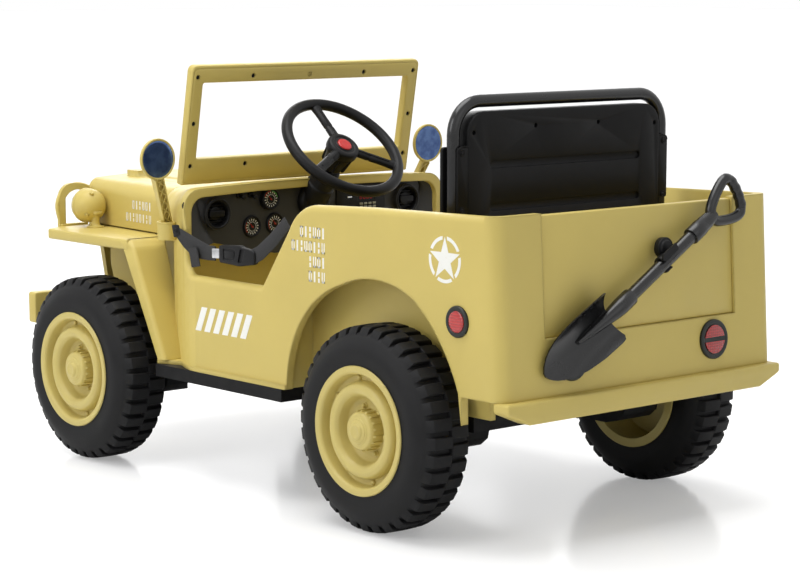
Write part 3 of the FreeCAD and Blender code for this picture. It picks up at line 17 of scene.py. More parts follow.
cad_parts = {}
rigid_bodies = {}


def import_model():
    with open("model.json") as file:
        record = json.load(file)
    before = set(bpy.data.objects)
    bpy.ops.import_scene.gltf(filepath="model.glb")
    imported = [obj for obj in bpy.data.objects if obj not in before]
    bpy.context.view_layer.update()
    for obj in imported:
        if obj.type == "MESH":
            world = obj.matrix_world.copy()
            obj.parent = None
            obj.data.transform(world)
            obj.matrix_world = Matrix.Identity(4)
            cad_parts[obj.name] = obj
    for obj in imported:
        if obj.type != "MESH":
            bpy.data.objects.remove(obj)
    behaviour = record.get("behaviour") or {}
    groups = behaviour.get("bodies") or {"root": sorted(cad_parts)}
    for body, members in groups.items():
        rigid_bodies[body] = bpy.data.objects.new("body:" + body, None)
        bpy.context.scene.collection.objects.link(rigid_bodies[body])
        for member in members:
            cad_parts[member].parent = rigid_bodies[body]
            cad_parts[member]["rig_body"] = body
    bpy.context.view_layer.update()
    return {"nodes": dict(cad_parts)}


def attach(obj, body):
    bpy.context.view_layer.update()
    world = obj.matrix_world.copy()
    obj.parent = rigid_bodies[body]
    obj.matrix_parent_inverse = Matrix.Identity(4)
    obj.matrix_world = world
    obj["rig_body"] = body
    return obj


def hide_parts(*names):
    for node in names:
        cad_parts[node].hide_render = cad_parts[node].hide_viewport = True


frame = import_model()
LOG = logging.getLogger("ride_on_car")
Colour = tuple[float, float, float]
Point = tuple[float, float, float]
Profile = Sequence[tuple[float, float]]


class Side(Enum):
    """The car's two sides, as the sign of their Y."""

    LEFT = 1
    RIGHT = -1

    @property
    def hand(self) -> str:
        """Its word in the names of pieces and nodes."""
        return self.name.lower()


class Slot(Enum):
    """The record's material slots."""

    BODY = "body_plastic"
    BLACK = "black_plastic"
    TUBE = "black_tube"
    WEBBING = "webbing"
    TYRE = "tyre"
    LAMP_RED = "lamp_red"
    BUTTON_RED = "button_red"
    LAMP_CLEAR = "lamp_clear"
    STEEL = "steel"


def linear(colour: Colour) -> tuple[float, float, float, float]:
    """A colour as the shaders need it.

    Args:
        colour: Red, green and blue from 0 to 255, as on a screen.

    Returns:
        Linear red, green, blue and a full alpha.
    """
    parts = [c / 255 for c in colour]
    flat = [c / 12.92 if c <= 0.04045 else ((c + 0.055) / 1.055) ** 2.4 for c in parts]
    return (flat[0], flat[1], flat[2], 1.0)


class Wire:
    """A socket of a shader, on which Python's operators add Math nodes."""

    def __init__(self, graph: "Graph", socket: bpy.types.NodeSocket) -> None:
        """Wrap a socket.

        Args:
            graph: The material's nodes.
            socket: An output in them.
        """
        self.graph = graph
        self.socket = socket

    def maths(self, operation: str, first: "Value", second: "Value") -> "Wire":
        """A Math node on two values.

        Args:
            operation: The Math node's operation.
            first: A wire or number.
            second: A wire or number.

        Returns:
            The node's result.
        """
        return self.graph.node("ShaderNodeMath", {"operation": operation}, {0: first, 1: second})

    def __add__(self, other: "Value") -> "Wire":
        """This plus other."""
        return self.maths("ADD", self, other)

    def __radd__(self, other: "Value") -> "Wire":
        """Other plus this."""
        return self.maths("ADD", other, self)

    def __sub__(self, other: "Value") -> "Wire":
        """This less other."""
        return self.maths("SUBTRACT", self, other)

    def __rsub__(self, other: "Value") -> "Wire":
        """Other less this."""
        return self.maths("SUBTRACT", other, self)

    def __mul__(self, other: "Value") -> "Wire":
        """This times other."""
        return self.maths("MULTIPLY", self, other)

    def __rmul__(self, other: "Value") -> "Wire":
        """Other times this."""
        return self.maths("MULTIPLY", other, self)

    def __truediv__(self, other: "Value") -> "Wire":
        """This over other."""
        return self.maths("DIVIDE", self, other)

    def __gt__(self, other: "Value") -> "Wire":
        """1 where this is above other, else 0."""
        return self.maths("GREATER_THAN", self, other)

    def __lt__(self, other: "Value") -> "Wire":
        """1 where this is below other, else 0."""
        return self.maths("LESS_THAN", self, other)


Value = Union[Wire, float]


class Graph:
    """The nodes of one material, or of the world."""

    def __init__(self, name: str, world: Optional[bpy.types.World] = None) -> None:
        """Start with no nodes.

        Args:
            name: The material's name.
            world: The world that holds the nodes instead of a new material.
        """
        self.material = world or bpy.data.materials.new(name)
        self.material.use_nodes = True
        self.tree = self.material.node_tree
        self.tree.nodes.clear()

    def node(self, kind: str, settings: Optional[dict] = None, inputs: Optional[dict] = None,
            output: Union[int, str] = 0) -> Wire:
        """Add any node.

        Args:
            kind: The node's type.
            settings: Its settings; "stops" gives a ramp's (place, colour) pairs.
            inputs: Values or wires of its sockets, by name or number.
            output: The name or number of the socket to return.

        Returns:
            The chosen output.
        """
        made = self.tree.nodes.new(kind)
        for key, value in (settings or {}).items():
            if key == "stops":
                stops = made.color_ramp.elements
                while len(stops) < len(value):
                    stops.new(1.0)
                for stop, (place, colour) in zip(stops, value):
                    stop.position = place
                    stop.color = colour
            else:
                setattr(made, key, value)
        for key, value in (inputs or {}).items():
            if isinstance(value, Wire):
                self.tree.links.new(value.socket, made.inputs[key])
            else:
                made.inputs[key].default_value = value
        return Wire(self, made.outputs[output])

    def place(self) -> Wire:
        """The Object coordinates of the shaded point."""
        return self.node("ShaderNodeTexCoord", output="Object")

    def axis(self, vector: Wire, letter: str) -> Wire:
        """One coordinate of a vector."""
        return self.node("ShaderNodeSeparateXYZ", inputs={0: vector}, output=letter)

    def noise(self, size: float, detail: float = 2.0, stretch: Optional[Point] = None) -> Wire:
        """Soft noise from 0 to 1 over the object.

        Args:
            size: The size of its grains, in metres.
            detail: How many finer layers it has.
            stretch: Scale along each axis.

        Returns:
            The noise.
        """
        where = self.place()
        if stretch:
            where = self.node("ShaderNodeVectorMath", {"operation": "MULTIPLY"}, {0: where, 1: stretch})
        return self.node("ShaderNodeTexNoise", inputs={"Vector": where, "Scale": 1 / size, "Detail": detail})

    def span(self, value: Wire, low: float, high: float, first: float = 0.0, last: float = 1.0) -> Wire:
        """A value's range low to high, clamped and laid on first to last."""
        return self.node("ShaderNodeMapRange", {"clamp": True}, {"Value": value, "From Min": low, "From Max": high,
                "To Min": first, "To Max": last})

    def tint(self, factor: Value, under: object, over: object) -> Wire:
        """Two colours mixed.

        Args:
            factor: 0 gives under, 1 gives over.
            under: A wire or linear colour.
            over: A wire or linear colour.

        Returns:
            The mixed colour.
        """
        return self.node("ShaderNodeMix", {"data_type": "RGBA"}, {0: factor, 6: under, 7: over}, 2)

    def relief(self, height: Wire, depth: float, normal: Optional[Wire] = None) -> Wire:
        """A Bump node.

        Args:
            height: Height from 0 to 1.
            depth: What 1 stands for, in metres.
            normal: The normal underneath.

        Returns:
            The bumped normal.
        """
        inputs: dict = {"Height": height, "Distance": depth, "Strength": 1.0}
        if normal:
            inputs["Normal"] = normal
        return self.node("ShaderNodeBump", inputs=inputs)

    def soft_edges(self, radius: float) -> Wire:
        """A normal that rounds sharp edges."""
        return self.node("ShaderNodeBevel", {"samples": 4}, {"Radius": radius})

    def finish(self, **sockets: object) -> bpy.types.Material:
        """Close the material with a Principled shader.

        Args:
            sockets: Values or wires of its sockets, with _ for each space.

        Returns:
            The material.
        """
        named = {key.replace("_", " "): value for key, value in sockets.items()}
        shader = self.node("ShaderNodeBsdfPrincipled", inputs=named)
        self.node_out(shader)
        return self.material

    def node_out(self, shader: Wire, kind: str = "ShaderNodeOutputMaterial") -> None:
        """Send a shader to the output."""
        out = self.tree.nodes.new(kind)
        self.tree.links.new(shader.socket, out.inputs["Surface"])


MADE: dict[str, bpy.types.Material] = {}


@dataclass(frozen=True)
class Finish:
    """A finish of the car: a name, a slot and the material that they stand for."""

    name: str
    slot: Slot

    def material(self) -> bpy.types.Material:
        """The finish's material, made once."""
        if self.name not in MADE:
            MADE[self.name] = self.build(Graph(self.name))
        return MADE[self.name]

    def build(self, graph: Graph) -> bpy.types.Material:
        """Make the material's nodes."""
        raise NotImplementedError


@dataclass(frozen=True)
class MouldedPlastic(Finish):
    """Moulded plastic: slow changes of shade, a fine grain and softened edges."""

    colour: Colour
    gloss: float = 0.45
    grain: float = 0.00003
    grain_size: float = 0.0012
    drift: float = 0.05
    edge: float = 0.0015
    dust: float = 0.0
    shine: float = 0.5

    def build(self, graph: Graph) -> bpy.types.Material:
        """Make the material's nodes."""
        base = linear(self.colour)
        low = tuple(c * (1 - self.drift) for c in base[:3]) + (1.0,)
        high = tuple(min(1.0, c * (1 + self.drift)) for c in base[:3]) + (1.0,)
        slow = graph.noise(0.11, 3.0)
        fine = graph.noise(self.grain_size, 3.0)
        colour = graph.tint(graph.span(slow * 0.8 + fine * 0.2, 0.3, 0.7), low, high)
        if self.dust:
            up = graph.axis(graph.node("ShaderNodeNewGeometry", output="Normal"), "Z")
            veil = graph.span(up, 0.2, 1.0) * graph.span(graph.noise(0.03, 5.0), 0.35, 0.75) * self.dust
            colour = graph.tint(veil, colour, linear((190, 186, 176)))
        rough = graph.span(graph.noise(0.02, 4.0), 0.3, 0.7, self.gloss - 0.05, self.gloss + 0.06)
        normal = graph.relief(fine, self.grain, graph.soft_edges(self.edge))
        return graph.finish(Base_Color=colour, Roughness=rough, Normal=normal, Specular_IOR_Level=self.shine)


@dataclass(frozen=True)
class TyreRubber(Finish):
    """Hollow blow-moulded tyre plastic: near black, matt, with a fine orange-peel skin."""

    colour: Colour = (18, 18, 19)

    def build(self, graph: Graph) -> bpy.types.Material:
        """Make the material's nodes."""
        base = linear(self.colour)
        pale = linear(tuple(c + 14 for c in self.colour))
        fine = graph.noise(0.0016, 4.0)
        slow = graph.noise(0.035, 4.0)
        colour = graph.tint(graph.span(slow, 0.35, 0.75, 0.0, 0.8), base, pale)
        rough = graph.span(slow, 0.3, 0.7, 0.5, 0.66)
        normal = graph.relief(fine, 0.00008, graph.soft_edges(0.001))
        return graph.finish(Base_Color=colour, Roughness=rough, Normal=normal, Specular_IOR_Level=0.2)


@dataclass(frozen=True)
class Metal(Finish):
    """Plated or painted metal with fine turning marks."""

    colour: Colour
    metallic: float = 1.0
    gloss: float = 0.3

    def build(self, graph: Graph) -> bpy.types.Material:
        """Make the material's nodes."""
        streak = graph.noise(0.0007, 2.0, (1.0, 1.0, 9.0))
        rough = graph.span(streak, 0.3, 0.7, self.gloss - 0.05, self.gloss + 0.1)
        base = linear(self.colour)
        dark = tuple(c * 0.8 for c in base[:3]) + (1.0,)
        colour = graph.tint(graph.span(graph.noise(0.01), 0.3, 0.7), dark, base)
        normal = graph.relief(streak, 0.00001, graph.soft_edges(0.0004))
        return graph.finish(Base_Color=colour, Roughness=rough, Metallic=self.metallic, Normal=normal)


@dataclass(frozen=True)
class Lens(Finish):
    """A glossy lens: prismatic ribs under a smooth coat, with painted shade in the rib valleys and a painted
    highlight on the crests.
    """

    colour: Colour
    # deep: the painted shade colour of the rib valleys; the crests take the lens colour.
    deep: Colour
    pitch: float = 0.0035
    across: str = "YZ"

    def build(self, graph: Graph) -> bpy.types.Material:
        """Make the material's nodes."""
        place = graph.place()
        ribs = 0.0
        for letter in self.across:
            run = graph.axis(place, letter)
            ribs = ribs + run.maths("PINGPONG", run, self.pitch / 2) / (self.pitch * len(self.across) / 2)
        # Painted shade and highlight: the colour runs with the relief, from deep in the rib valleys to the lens
        # colour on the crests.
        colour = graph.tint(ribs, linear(self.deep), linear(self.colour))
        normal = graph.relief(ribs, 0.0005)
        return graph.finish(Base_Color=colour, Roughness=0.16, Normal=normal, Coat_Weight=0.6, Coat_Roughness=0.05)


@dataclass(frozen=True)
class MirrorGlass(Finish):
    """Dark blue mirror film with faint waves and dust."""

    colour: Colour = (66, 88, 136)

    def build(self, graph: Graph) -> bpy.types.Material:
        """Make the material's nodes."""
        slow = graph.noise(0.012, 2.0)
        colour = graph.tint(graph.span(slow, 0.35, 0.65), linear(self.colour), linear((92, 118, 164)))
        rough = graph.span(graph.noise(0.003, 4.0), 0.35, 0.8, 0.08, 0.24)
        normal = graph.relief(slow, 0.0002)
        return graph.finish(Base_Color=colour, Roughness=rough, Metallic=0.7, Normal=normal)


@dataclass(frozen=True)
class StencilPaint(Finish):
    """White stencilled paint, thin and slightly uneven."""

    colour: Colour = (238, 238, 232)
    under: Colour = (214, 200, 150)

    def build(self, graph: Graph) -> bpy.types.Material:
        """Make the material's nodes."""
        wear = graph.span(graph.noise(0.004, 6.0), 0.62, 0.78)
        colour = graph.tint(wear * 0.35, linear(self.colour), linear(self.under))
        normal = graph.relief(graph.noise(0.0009, 3.0), 0.00002)
        rough = graph.span(wear, 0.0, 1.0, 0.42, 0.6)
        return graph.finish(Base_Color=colour, Roughness=rough, Normal=normal)


@dataclass(frozen=True)
class Webbing(Finish):
    """Black woven webbing: rows of yarn across the band, with painted shade in the hollows between the yarns and a
    painted sheen on their crests.
    """

    colour: Colour = (26, 26, 27)
    yarn: float = 0.0018

    def build(self, graph: Graph) -> bpy.types.Material:
        """Make the material's nodes."""
        place = graph.place()
        turn = 2 * math.pi / self.yarn
        along = graph.node("ShaderNodeMath", {"operation": "SINE"}, {0: graph.axis(place, "X") * turn})
        across = graph.node("ShaderNodeMath", {"operation": "SINE"}, {0: graph.axis(place, "Z") * turn * 1.3})
        weave_height_and_shade = along * across * 0.5 + 0.5
        # Painted shade and sheen: the black goes to (52, 52, 53) on the weave's crests, following the relief.
        colour = graph.tint(weave_height_and_shade, linear(self.colour), linear((52, 52, 53)))
        return graph.finish(Base_Color=colour, Roughness=0.82, Normal=graph.relief(weave_height_and_shade, 0.0003))


SAND = MouldedPlastic("sand_plastic", Slot.BODY, (203, 183, 102), gloss=0.42, drift=0.03, edge=0.0025, shine=0.4)
SAND_SOFT = MouldedPlastic("sand_shell", Slot.BODY, (203, 183, 102), gloss=0.42, drift=0.03, edge=0.0055, shine=0.4)
SAND_WHEEL = MouldedPlastic("sand_wheel", Slot.BODY, (199, 182, 108), gloss=0.38, drift=0.03, edge=0.0012,
        shine=0.4)
BLACK = MouldedPlastic("black_plastic", Slot.BLACK, (20, 20, 21), gloss=0.42, grain=0.00006, edge=0.0012,
        shine=0.18)
DASH_BLACK = MouldedPlastic("dash_plastic", Slot.BLACK, (48, 48, 49), gloss=0.5, grain=0.00008, edge=0.0012,
        shine=0.35)
SEAT_BLACK = MouldedPlastic("seat_plastic", Slot.BLACK, (18, 18, 19), gloss=0.42, grain=0.00009, grain_size=0.0016,
        edge=0.0014, shine=0.14)
FLOOR_BLACK = MouldedPlastic("underbody_plastic", Slot.BLACK, (16, 16, 17), gloss=0.6, grain=0.0001, edge=0.0015,
        dust=0.1, shine=0.2)
LAMP_BLACK = MouldedPlastic("lamp_housing", Slot.BLACK, (20, 25, 20), gloss=0.3, grain=0.00002, edge=0.0006,
        shine=0.4)
SHOVEL_BLACK = MouldedPlastic("shovel_plastic", Slot.BLACK, (14, 14, 15), gloss=0.24, grain=0.00004, edge=0.0008,
        shine=0.5)
KEY_GREY = MouldedPlastic("key_grey", Slot.BLACK, (168, 170, 160), gloss=0.4, grain=0.00001, edge=0.0003)
TUBE = MouldedPlastic("tube_lacquer", Slot.TUBE, (14, 14, 15), gloss=0.22, grain=0.00001, edge=0.0005, shine=0.5)
TYRE = TyreRubber("tyre_plastic", Slot.TYRE)
STEEL = Metal("axle_steel", Slot.STEEL, (58, 58, 60), metallic=0.6, gloss=0.4)
SCREW = Metal("screw_head", Slot.STEEL, (40, 40, 42), metallic=0.8, gloss=0.35)
CHROME = Metal("bright_plating", Slot.STEEL, (205, 206, 208), gloss=0.14)
# The second colour of each lens is painted shade for its rib valleys.
RED_LENS = Lens("red_lens", Slot.LAMP_RED, (196, 30, 26), (120, 8, 10), pitch=0.0042)
RED_BUTTON = MouldedPlastic("red_button", Slot.BUTTON_RED, (196, 34, 30), gloss=0.22, grain=0.00001, edge=0.0008)
RED_GLOW = MouldedPlastic("readout_red", Slot.LAMP_RED, (232, 38, 30), gloss=0.2, grain=0.00001, edge=0.0003)
GREEN_PAINT = MouldedPlastic("dial_green", Slot.BLACK, (58, 150, 62), gloss=0.4, grain=0.00001, edge=0.0003)
# The second colour here is painted shade for the rib valleys.
CLEAR_LENS = Lens("lamp_lens", Slot.LAMP_CLEAR, (232, 230, 214), (176, 172, 150), pitch=0.006, across="Y")
BULB = MouldedPlastic("lamp_bulb", Slot.LAMP_CLEAR, (244, 240, 222), gloss=0.12, grain=0.00001, edge=0.0004)
GLASS = MirrorGlass("mirror_film", Slot.BLACK)
PAINT = StencilPaint("stencil_paint", Slot.BODY)
WEB = Webbing("strap_webbing", Slot.WEBBING)


MIRROR = Matrix.Scale(-1.0, 4, (0.0, 1.0, 0.0))


def turn_of(degrees: float, axis: str) -> Matrix:
    """A turn about an axis."""
    return Matrix.Rotation(math.radians(degrees), 4, axis)


def linked(name: str, data: Optional[bpy.types.ID]) -> bpy.types.Object:
    """A new object in the scene."""
    made = bpy.data.objects.new(name, data)
    bpy.context.scene.collection.objects.link(made)
    return made


class Shape:
    """A mesh in the making."""

    def __init__(self) -> None:
        """Start with nothing."""
        self.bm = bmesh.new()

    def turned(self, profile: Profile, steps: int = 96, start: float = 0.0, end: float = 360.0) -> "Shape":
        """Add a shape turned about the Y axis.

        Args:
            profile: (place along Y, radius) points, a closed run.
            steps: Runs round the axis.
            start: First angle in degrees, from +X towards -Z.
            end: Last angle in degrees.

        Returns:
            This shape.
        """
        whole = end - start >= 360
        rings = []
        for i in range(steps if whole else steps + 1):
            angle = math.radians(start + (end - start) * i / steps)
            c, s = math.cos(angle), -math.sin(angle)
            rings.append([self.bm.verts.new((r * c, y, r * s)) for y, r in profile])
        count = len(profile)
        for i in range(steps):
            one, two = rings[i], rings[(i + 1) % len(rings)]
            for j in range(count):
                k = (j + 1) % count
                self.bm.faces.new((one[j], one[k], two[k], two[j]))
        if not whole:
            self.bm.faces.new(rings[0][::-1])
            self.bm.faces.new(rings[-1])
        return self.tidy()

    def prism(self, outline: Sequence[tuple[float, float]], low: float, high: float, normal: str = "Y") -> "Shape":
        """Add a flat outline given a thickness.

        Args:
            outline: Points of the closed outline.
            low: Where it starts along the normal.
            high: Where it ends.
            normal: The axis that it is thick along. Points are (x, z) for Y, (y, z) for X, (x, y) for Z.

        Returns:
            This shape.
        """
        def spot(u: float, v: float, n: float) -> Point:
            """A point of the outline at a depth."""
            return {"Y": (u, n, v), "X": (n, u, v), "Z": (u, v, n)}[normal]

        one = [self.bm.verts.new(spot(u, v, low)) for u, v in outline]
        two = [self.bm.verts.new(spot(u, v, high)) for u, v in outline]
        count = len(outline)
        sides = [self.bm.faces.new((one[i], one[(i + 1) % count], two[(i + 1) % count], two[i]))
                for i in range(count)]
        caps = [self.bm.faces.new(one[::-1]), self.bm.faces.new(two)]
        bmesh.ops.recalc_face_normals(self.bm, faces=sides + caps)
        return self

    def tube(self, path: Sequence[Point], radius: Union[float, Sequence[float]], sides: int = 12,
            closed: bool = False) -> "Shape":
        """Add a round bar along a path.

        Args:
            path: Points of its middle line.
            radius: Its radius, or one for each point.
            sides: Faces round it.
            closed: Whether the path is a loop.

        Returns:
            This shape.
        """
        points = [Vector(p) for p in path]
        count = len(points)
        radii = [radius] * count if isinstance(radius, (int, float)) else list(radius)
        rings: list[list[bmesh.types.BMVert]] = []
        last: Optional[Vector] = None
        for i, point in enumerate(points):
            ahead = points[(i + 1) % count] if closed or i + 1 < count else point
            back = points[i - 1] if closed or i else point
            run = (ahead - back).normalized()
            if last is None:
                last = run.orthogonal().normalized()
            last = (last - run * last.dot(run)).normalized()
            side = run.cross(last)
            ring = []
            for k in range(sides):
                turn = 2 * math.pi * k / sides
                ring.append(self.bm.verts.new(point + (last * math.cos(turn) + side * math.sin(turn)) * radii[i]))
            rings.append(ring)
        for i in range(count if closed else count - 1):
            one, two = rings[i], rings[(i + 1) % count]
            for k in range(sides):
                n = (k + 1) % sides
                self.bm.faces.new((one[k], one[n], two[n], two[k]))
        if not closed:
            self.bm.faces.new(rings[0][::-1])
            self.bm.faces.new(rings[-1])
        return self

    def loft(self, rings: Sequence[Sequence[Point]], caps: bool = True) -> "Shape":
        """Add a skin through closed rings of as many points each."""
        made = [[self.bm.verts.new(p) for p in ring] for ring in rings]
        count = len(made[0])
        for one, two in zip(made, made[1:]):
            for k in range(count):
                n = (k + 1) % count
                self.bm.faces.new((one[k], one[n], two[n], two[k]))
        if caps:
            self.bm.faces.new(made[0][::-1])
            self.bm.faces.new(made[-1])
        return self.tidy()

    def copy_of(self, node: str) -> "Shape":
        """Add a CAD node's surface, with its loose triangles joined."""
        self.bm.from_mesh(frame["nodes"][node].data)
        bmesh.ops.remove_doubles(self.bm, verts=self.bm.verts, dist=0.5e-6)
        bmesh.ops.dissolve_limit(self.bm, angle_limit=math.radians(0.6), verts=self.bm.verts, edges=self.bm.edges,
                delimit=set())
        return self

    def rounded(self, width: float, steps: int = 2, angle: float = 30.0) -> "Shape":
        """Round the edges that turn by more than an angle.

        Args:
            width: How far the rounding reaches from the edge.
            steps: Faces across it.
            angle: The least turn, in degrees.

        Returns:
            This shape.
        """
        sharp = [e for e in self.bm.edges if len(e.link_faces) == 2 and e.calc_length() > 0.0
                and e.calc_face_angle(0.0) > math.radians(angle)]
        bmesh.ops.bevel(self.bm, geom=sharp, offset=width, segments=steps, profile=0.5, affect="EDGES",
                clamp_overlap=True, loop_slide=True, miter_outer="ARC")
        return self

    def tidy(self) -> "Shape":
        """Join doubles and turn every face outwards."""
        bmesh.ops.remove_doubles(self.bm, verts=self.bm.verts, dist=1e-6)
        bmesh.ops.recalc_face_normals(self.bm, faces=self.bm.faces)
        return self

    def moved(self, matrix: Matrix) -> "Shape":
        """The shape after a turn and a shift, or a mirror."""
        self.bm.transform(matrix)
        if matrix.determinant() < 0:
            bmesh.ops.reverse_faces(self.bm, faces=self.bm.faces)
        return self

    def mirrored(self, side: Side) -> "Shape":
        """The shape for the left side, or its mirror image for the right."""
        return self.moved(MIRROR) if side is Side.RIGHT else self

    def piece(self, name: str, finish: Finish, body: Optional[str] = "car", stands_for: Iterable[str] = (),
            crease: float = 35.0) -> bpy.types.Object:
        """Make the object.

        Args:
            name: Its name.
            finish: Its finish.
            body: The body that it rides on; None leaves that for later.
            stands_for: The CAD nodes that it replaces.
            crease: The turn, in degrees, past which an edge is sharp.

        Returns:
            The object.
        """
        mesh = bpy.data.meshes.new(name)
        self.bm.to_mesh(mesh)
        self.bm.free()
        return dressed(name, mesh, finish, body, stands_for, crease)


def dressed(name: str, mesh: bpy.types.Mesh, finish: Finish, body: Optional[str], stands_for: Iterable[str] = (),
        crease: float = 35.0) -> bpy.types.Object:
    """An object of a finished mesh, with its finish and its body."""
    mesh.materials.clear()
    mesh.materials.append(finish.material())
    mesh.shade_smooth()
    mesh.set_sharp_from_angle(angle=math.radians(crease))
    made = linked(name, mesh)
    if body:
        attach(made, body)
        LOG.info("%s: %d faces on %s", name, len(mesh.polygons), body)
    if stands_for:
        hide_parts(*stands_for)
    return made


def eased(profile: Profile, radius: float, steps: int = 3, closed: bool = True) -> list[tuple[float, float]]:
    """A run of points with its corners rounded.

    Args:
        profile: The points.
        radius: How far each rounding reaches, at most.
        steps: Points on each rounding, less one.
        closed: Whether the run is a loop.

    Returns:
        The longer run.
    """
    points = [Vector(p) for p in profile]
    count = len(points)
    made: list[tuple[float, float]] = []
    for i, point in enumerate(points):
        if not closed and i in (0, count - 1):
            made.append(tuple(point))
            continue
        back, ahead = points[i - 1] - point, points[(i + 1) % count] - point
        reach = min(radius, back.length * 0.45, ahead.length * 0.45)
        first, last = point + back.normalized() * reach, point + ahead.normalized() * reach
        for k in range(steps + 1):
            t = k / steps
            made.append(tuple(first * (1 - t) ** 2 + point * (2 * t * (1 - t)) + last * t ** 2))
    return made


def circle(u: float, v: float, radius: float, steps: int = 32, start: float = 0.0,
        end: float = 360.0) -> list[tuple[float, float]]:
    """Points on a circle or an arc of one, in degrees."""
    whole = end - start >= 360
    turns = [math.radians(start + (end - start) * i / steps) for i in range(steps if whole else steps + 1)]
    return [(u + radius * math.cos(t), v + radius * math.sin(t)) for t in turns]


class Pattern:
    """Geometry Nodes that set copies of one shape round the Y axis or at a piece's points."""

    def __init__(self, name: str) -> None:
        """Start an empty group with a geometry output.

        Args:
            name: The group's name.
        """
        self.group = bpy.data.node_groups.new(name, "GeometryNodeTree")
        self.group.interface.new_socket("Geometry", in_out="INPUT", socket_type="NodeSocketGeometry")
        self.group.interface.new_socket("Geometry", in_out="OUTPUT", socket_type="NodeSocketGeometry")
        self.sockets: dict[str, str] = {}

    def sized(self, name: str, kind: str) -> None:
        """Add a named input."""
        made = self.group.interface.new_socket(name, in_out="INPUT", socket_type=kind)
        self.sockets[name] = made.identifier

    def add(self, kind: str, settings: Optional[dict] = None, inputs: Optional[dict] = None) -> bpy.types.Node:
        """Add a node with its settings and inputs; a socket as a value makes a link."""
        made = self.group.nodes.new(kind)
        for key, value in (settings or {}).items():
            setattr(made, key, value)
        for key, value in (inputs or {}).items():
            if isinstance(value, bpy.types.NodeSocket):
                self.group.links.new(value, made.inputs[key])
            else:
                made.inputs[key].default_value = value
        return made

    def close(self, geometry: bpy.types.NodeSocket, finish: bpy.types.NodeSocket) -> None:
        """End the group in Realize Instances and Set Material."""
        real = self.add("GeometryNodeRealizeInstances", inputs={"Geometry": geometry})
        dress = self.add("GeometryNodeSetMaterial", inputs={"Geometry": real.outputs[0], "Material": finish})
        self.add("NodeGroupOutput", inputs={0: dress.outputs[0]})

    def made(self, carrier: bpy.types.Object, values: dict, name: str, finish: Finish, body: Optional[str],
            matrix: Optional[Matrix] = None) -> bpy.types.Object:
        """Run the group on a carrier and keep the result as a plain mesh.

        Args:
            carrier: The object whose mesh goes in; it is removed.
            values: The named inputs.
            name: The new piece's name.
            finish: Its finish.
            body: The body that it rides on.
            matrix: Where it is moved.

        Returns:
            The piece.
        """
        modifier = carrier.modifiers.new("pattern", "NODES")
        modifier.node_group = self.group
        modifier[self.sockets["Finish"]] = finish.material()
        for key, value in values.items():
            modifier[self.sockets[key]] = value
        graph = bpy.context.evaluated_depsgraph_get()
        mesh = bpy.data.meshes.new_from_object(carrier.evaluated_get(graph))
        carrier.modifiers.remove(modifier)
        bpy.data.objects.remove(carrier)
        mesh.name = name
        if matrix is not None:
            mesh.transform(matrix)
            if matrix.determinant() < 0:
                mesh.flip_normals()
        return dressed(name, mesh, finish, body)


def ring_pattern() -> Pattern:
    """Copies of the carrier's own mesh round the Y axis."""
    made = Pattern("ring_of_copies")
    made.sized("Count", "NodeSocketInt")
    made.sized("First Angle", "NodeSocketFloat")
    made.sized("Finish", "NodeSocketMaterial")
    given = made.add("NodeGroupInput").outputs
    points = made.add("GeometryNodePoints", inputs={"Count": given["Count"]})
    index = made.add("GeometryNodeInputIndex")
    pitch = made.add("ShaderNodeMath", {"operation": "DIVIDE"}, {0: 2 * math.pi, 1: given["Count"]})
    turn = made.add("ShaderNodeMath", {"operation": "MULTIPLY_ADD"}, {0: index.outputs[0], 1: pitch.outputs[0],
            2: given["First Angle"]})
    angles = made.add("ShaderNodeCombineXYZ", inputs={"Y": turn.outputs[0]})
    copies = made.add("GeometryNodeInstanceOnPoints", inputs={"Points": points.outputs[0],
            "Instance": given["Geometry"], "Rotation": angles.outputs[0]})
    made.close(copies.outputs[0], given["Finish"])
    return made


def spot_pattern() -> Pattern:
    """Copies of a sample object at each of the carrier's points."""
    made = Pattern("copies_at_points")
    made.sized("Sample", "NodeSocketObject")
    made.sized("Scale", "NodeSocketFloat")
    made.sized("Finish", "NodeSocketMaterial")
    given = made.add("NodeGroupInput").outputs
    sample = made.add("GeometryNodeObjectInfo", inputs={"Object": given["Sample"]})
    copies = made.add("GeometryNodeInstanceOnPoints", inputs={"Points": given["Geometry"],
            "Instance": sample.outputs["Geometry"], "Scale": given["Scale"]})
    made.close(copies.outputs[0], given["Finish"])
    return made


RING = ring_pattern()
SPOTS = spot_pattern()


def ring_of(shape: Shape, count: int, name: str, finish: Finish, body: Optional[str], first: float = 0.0,
        matrix: Optional[Matrix] = None) -> bpy.types.Object:
    """Copies of a shape round the Y axis, as one piece.

    Args:
        shape: One copy.
        count: How many.
        name: The piece's name.
        finish: Its finish.
        body: Its body.
        first: The first copy's turn, in radians.
        matrix: Where the ring goes.

    Returns:
        The piece.
    """
    carrier = shape.piece(name + "_one", finish, None)
    return RING.made(carrier, {"Count": count, "First Angle": first}, name, finish, body, matrix)


def copies_at(shape: Shape, spots: Sequence[Point], name: str, finish: Finish) -> bpy.types.Object:
    """Copies of a shape at given points, as one piece on the car.

    Args:
        shape: One copy.
        spots: The points.
        name: The piece's name.
        finish: Its finish.

    Returns:
        The piece.
    """
    sample = shape.piece(name + "_one", finish, None)
    points = bpy.data.meshes.new(name + "_points")
    points.from_pydata([tuple(s) for s in spots], [], [])
    carrier = linked(name + "_carrier", points)
    made = SPOTS.made(carrier, {"Sample": sample, "Scale": 1.0}, name, finish, "car")
    bpy.data.objects.remove(sample)
    return made


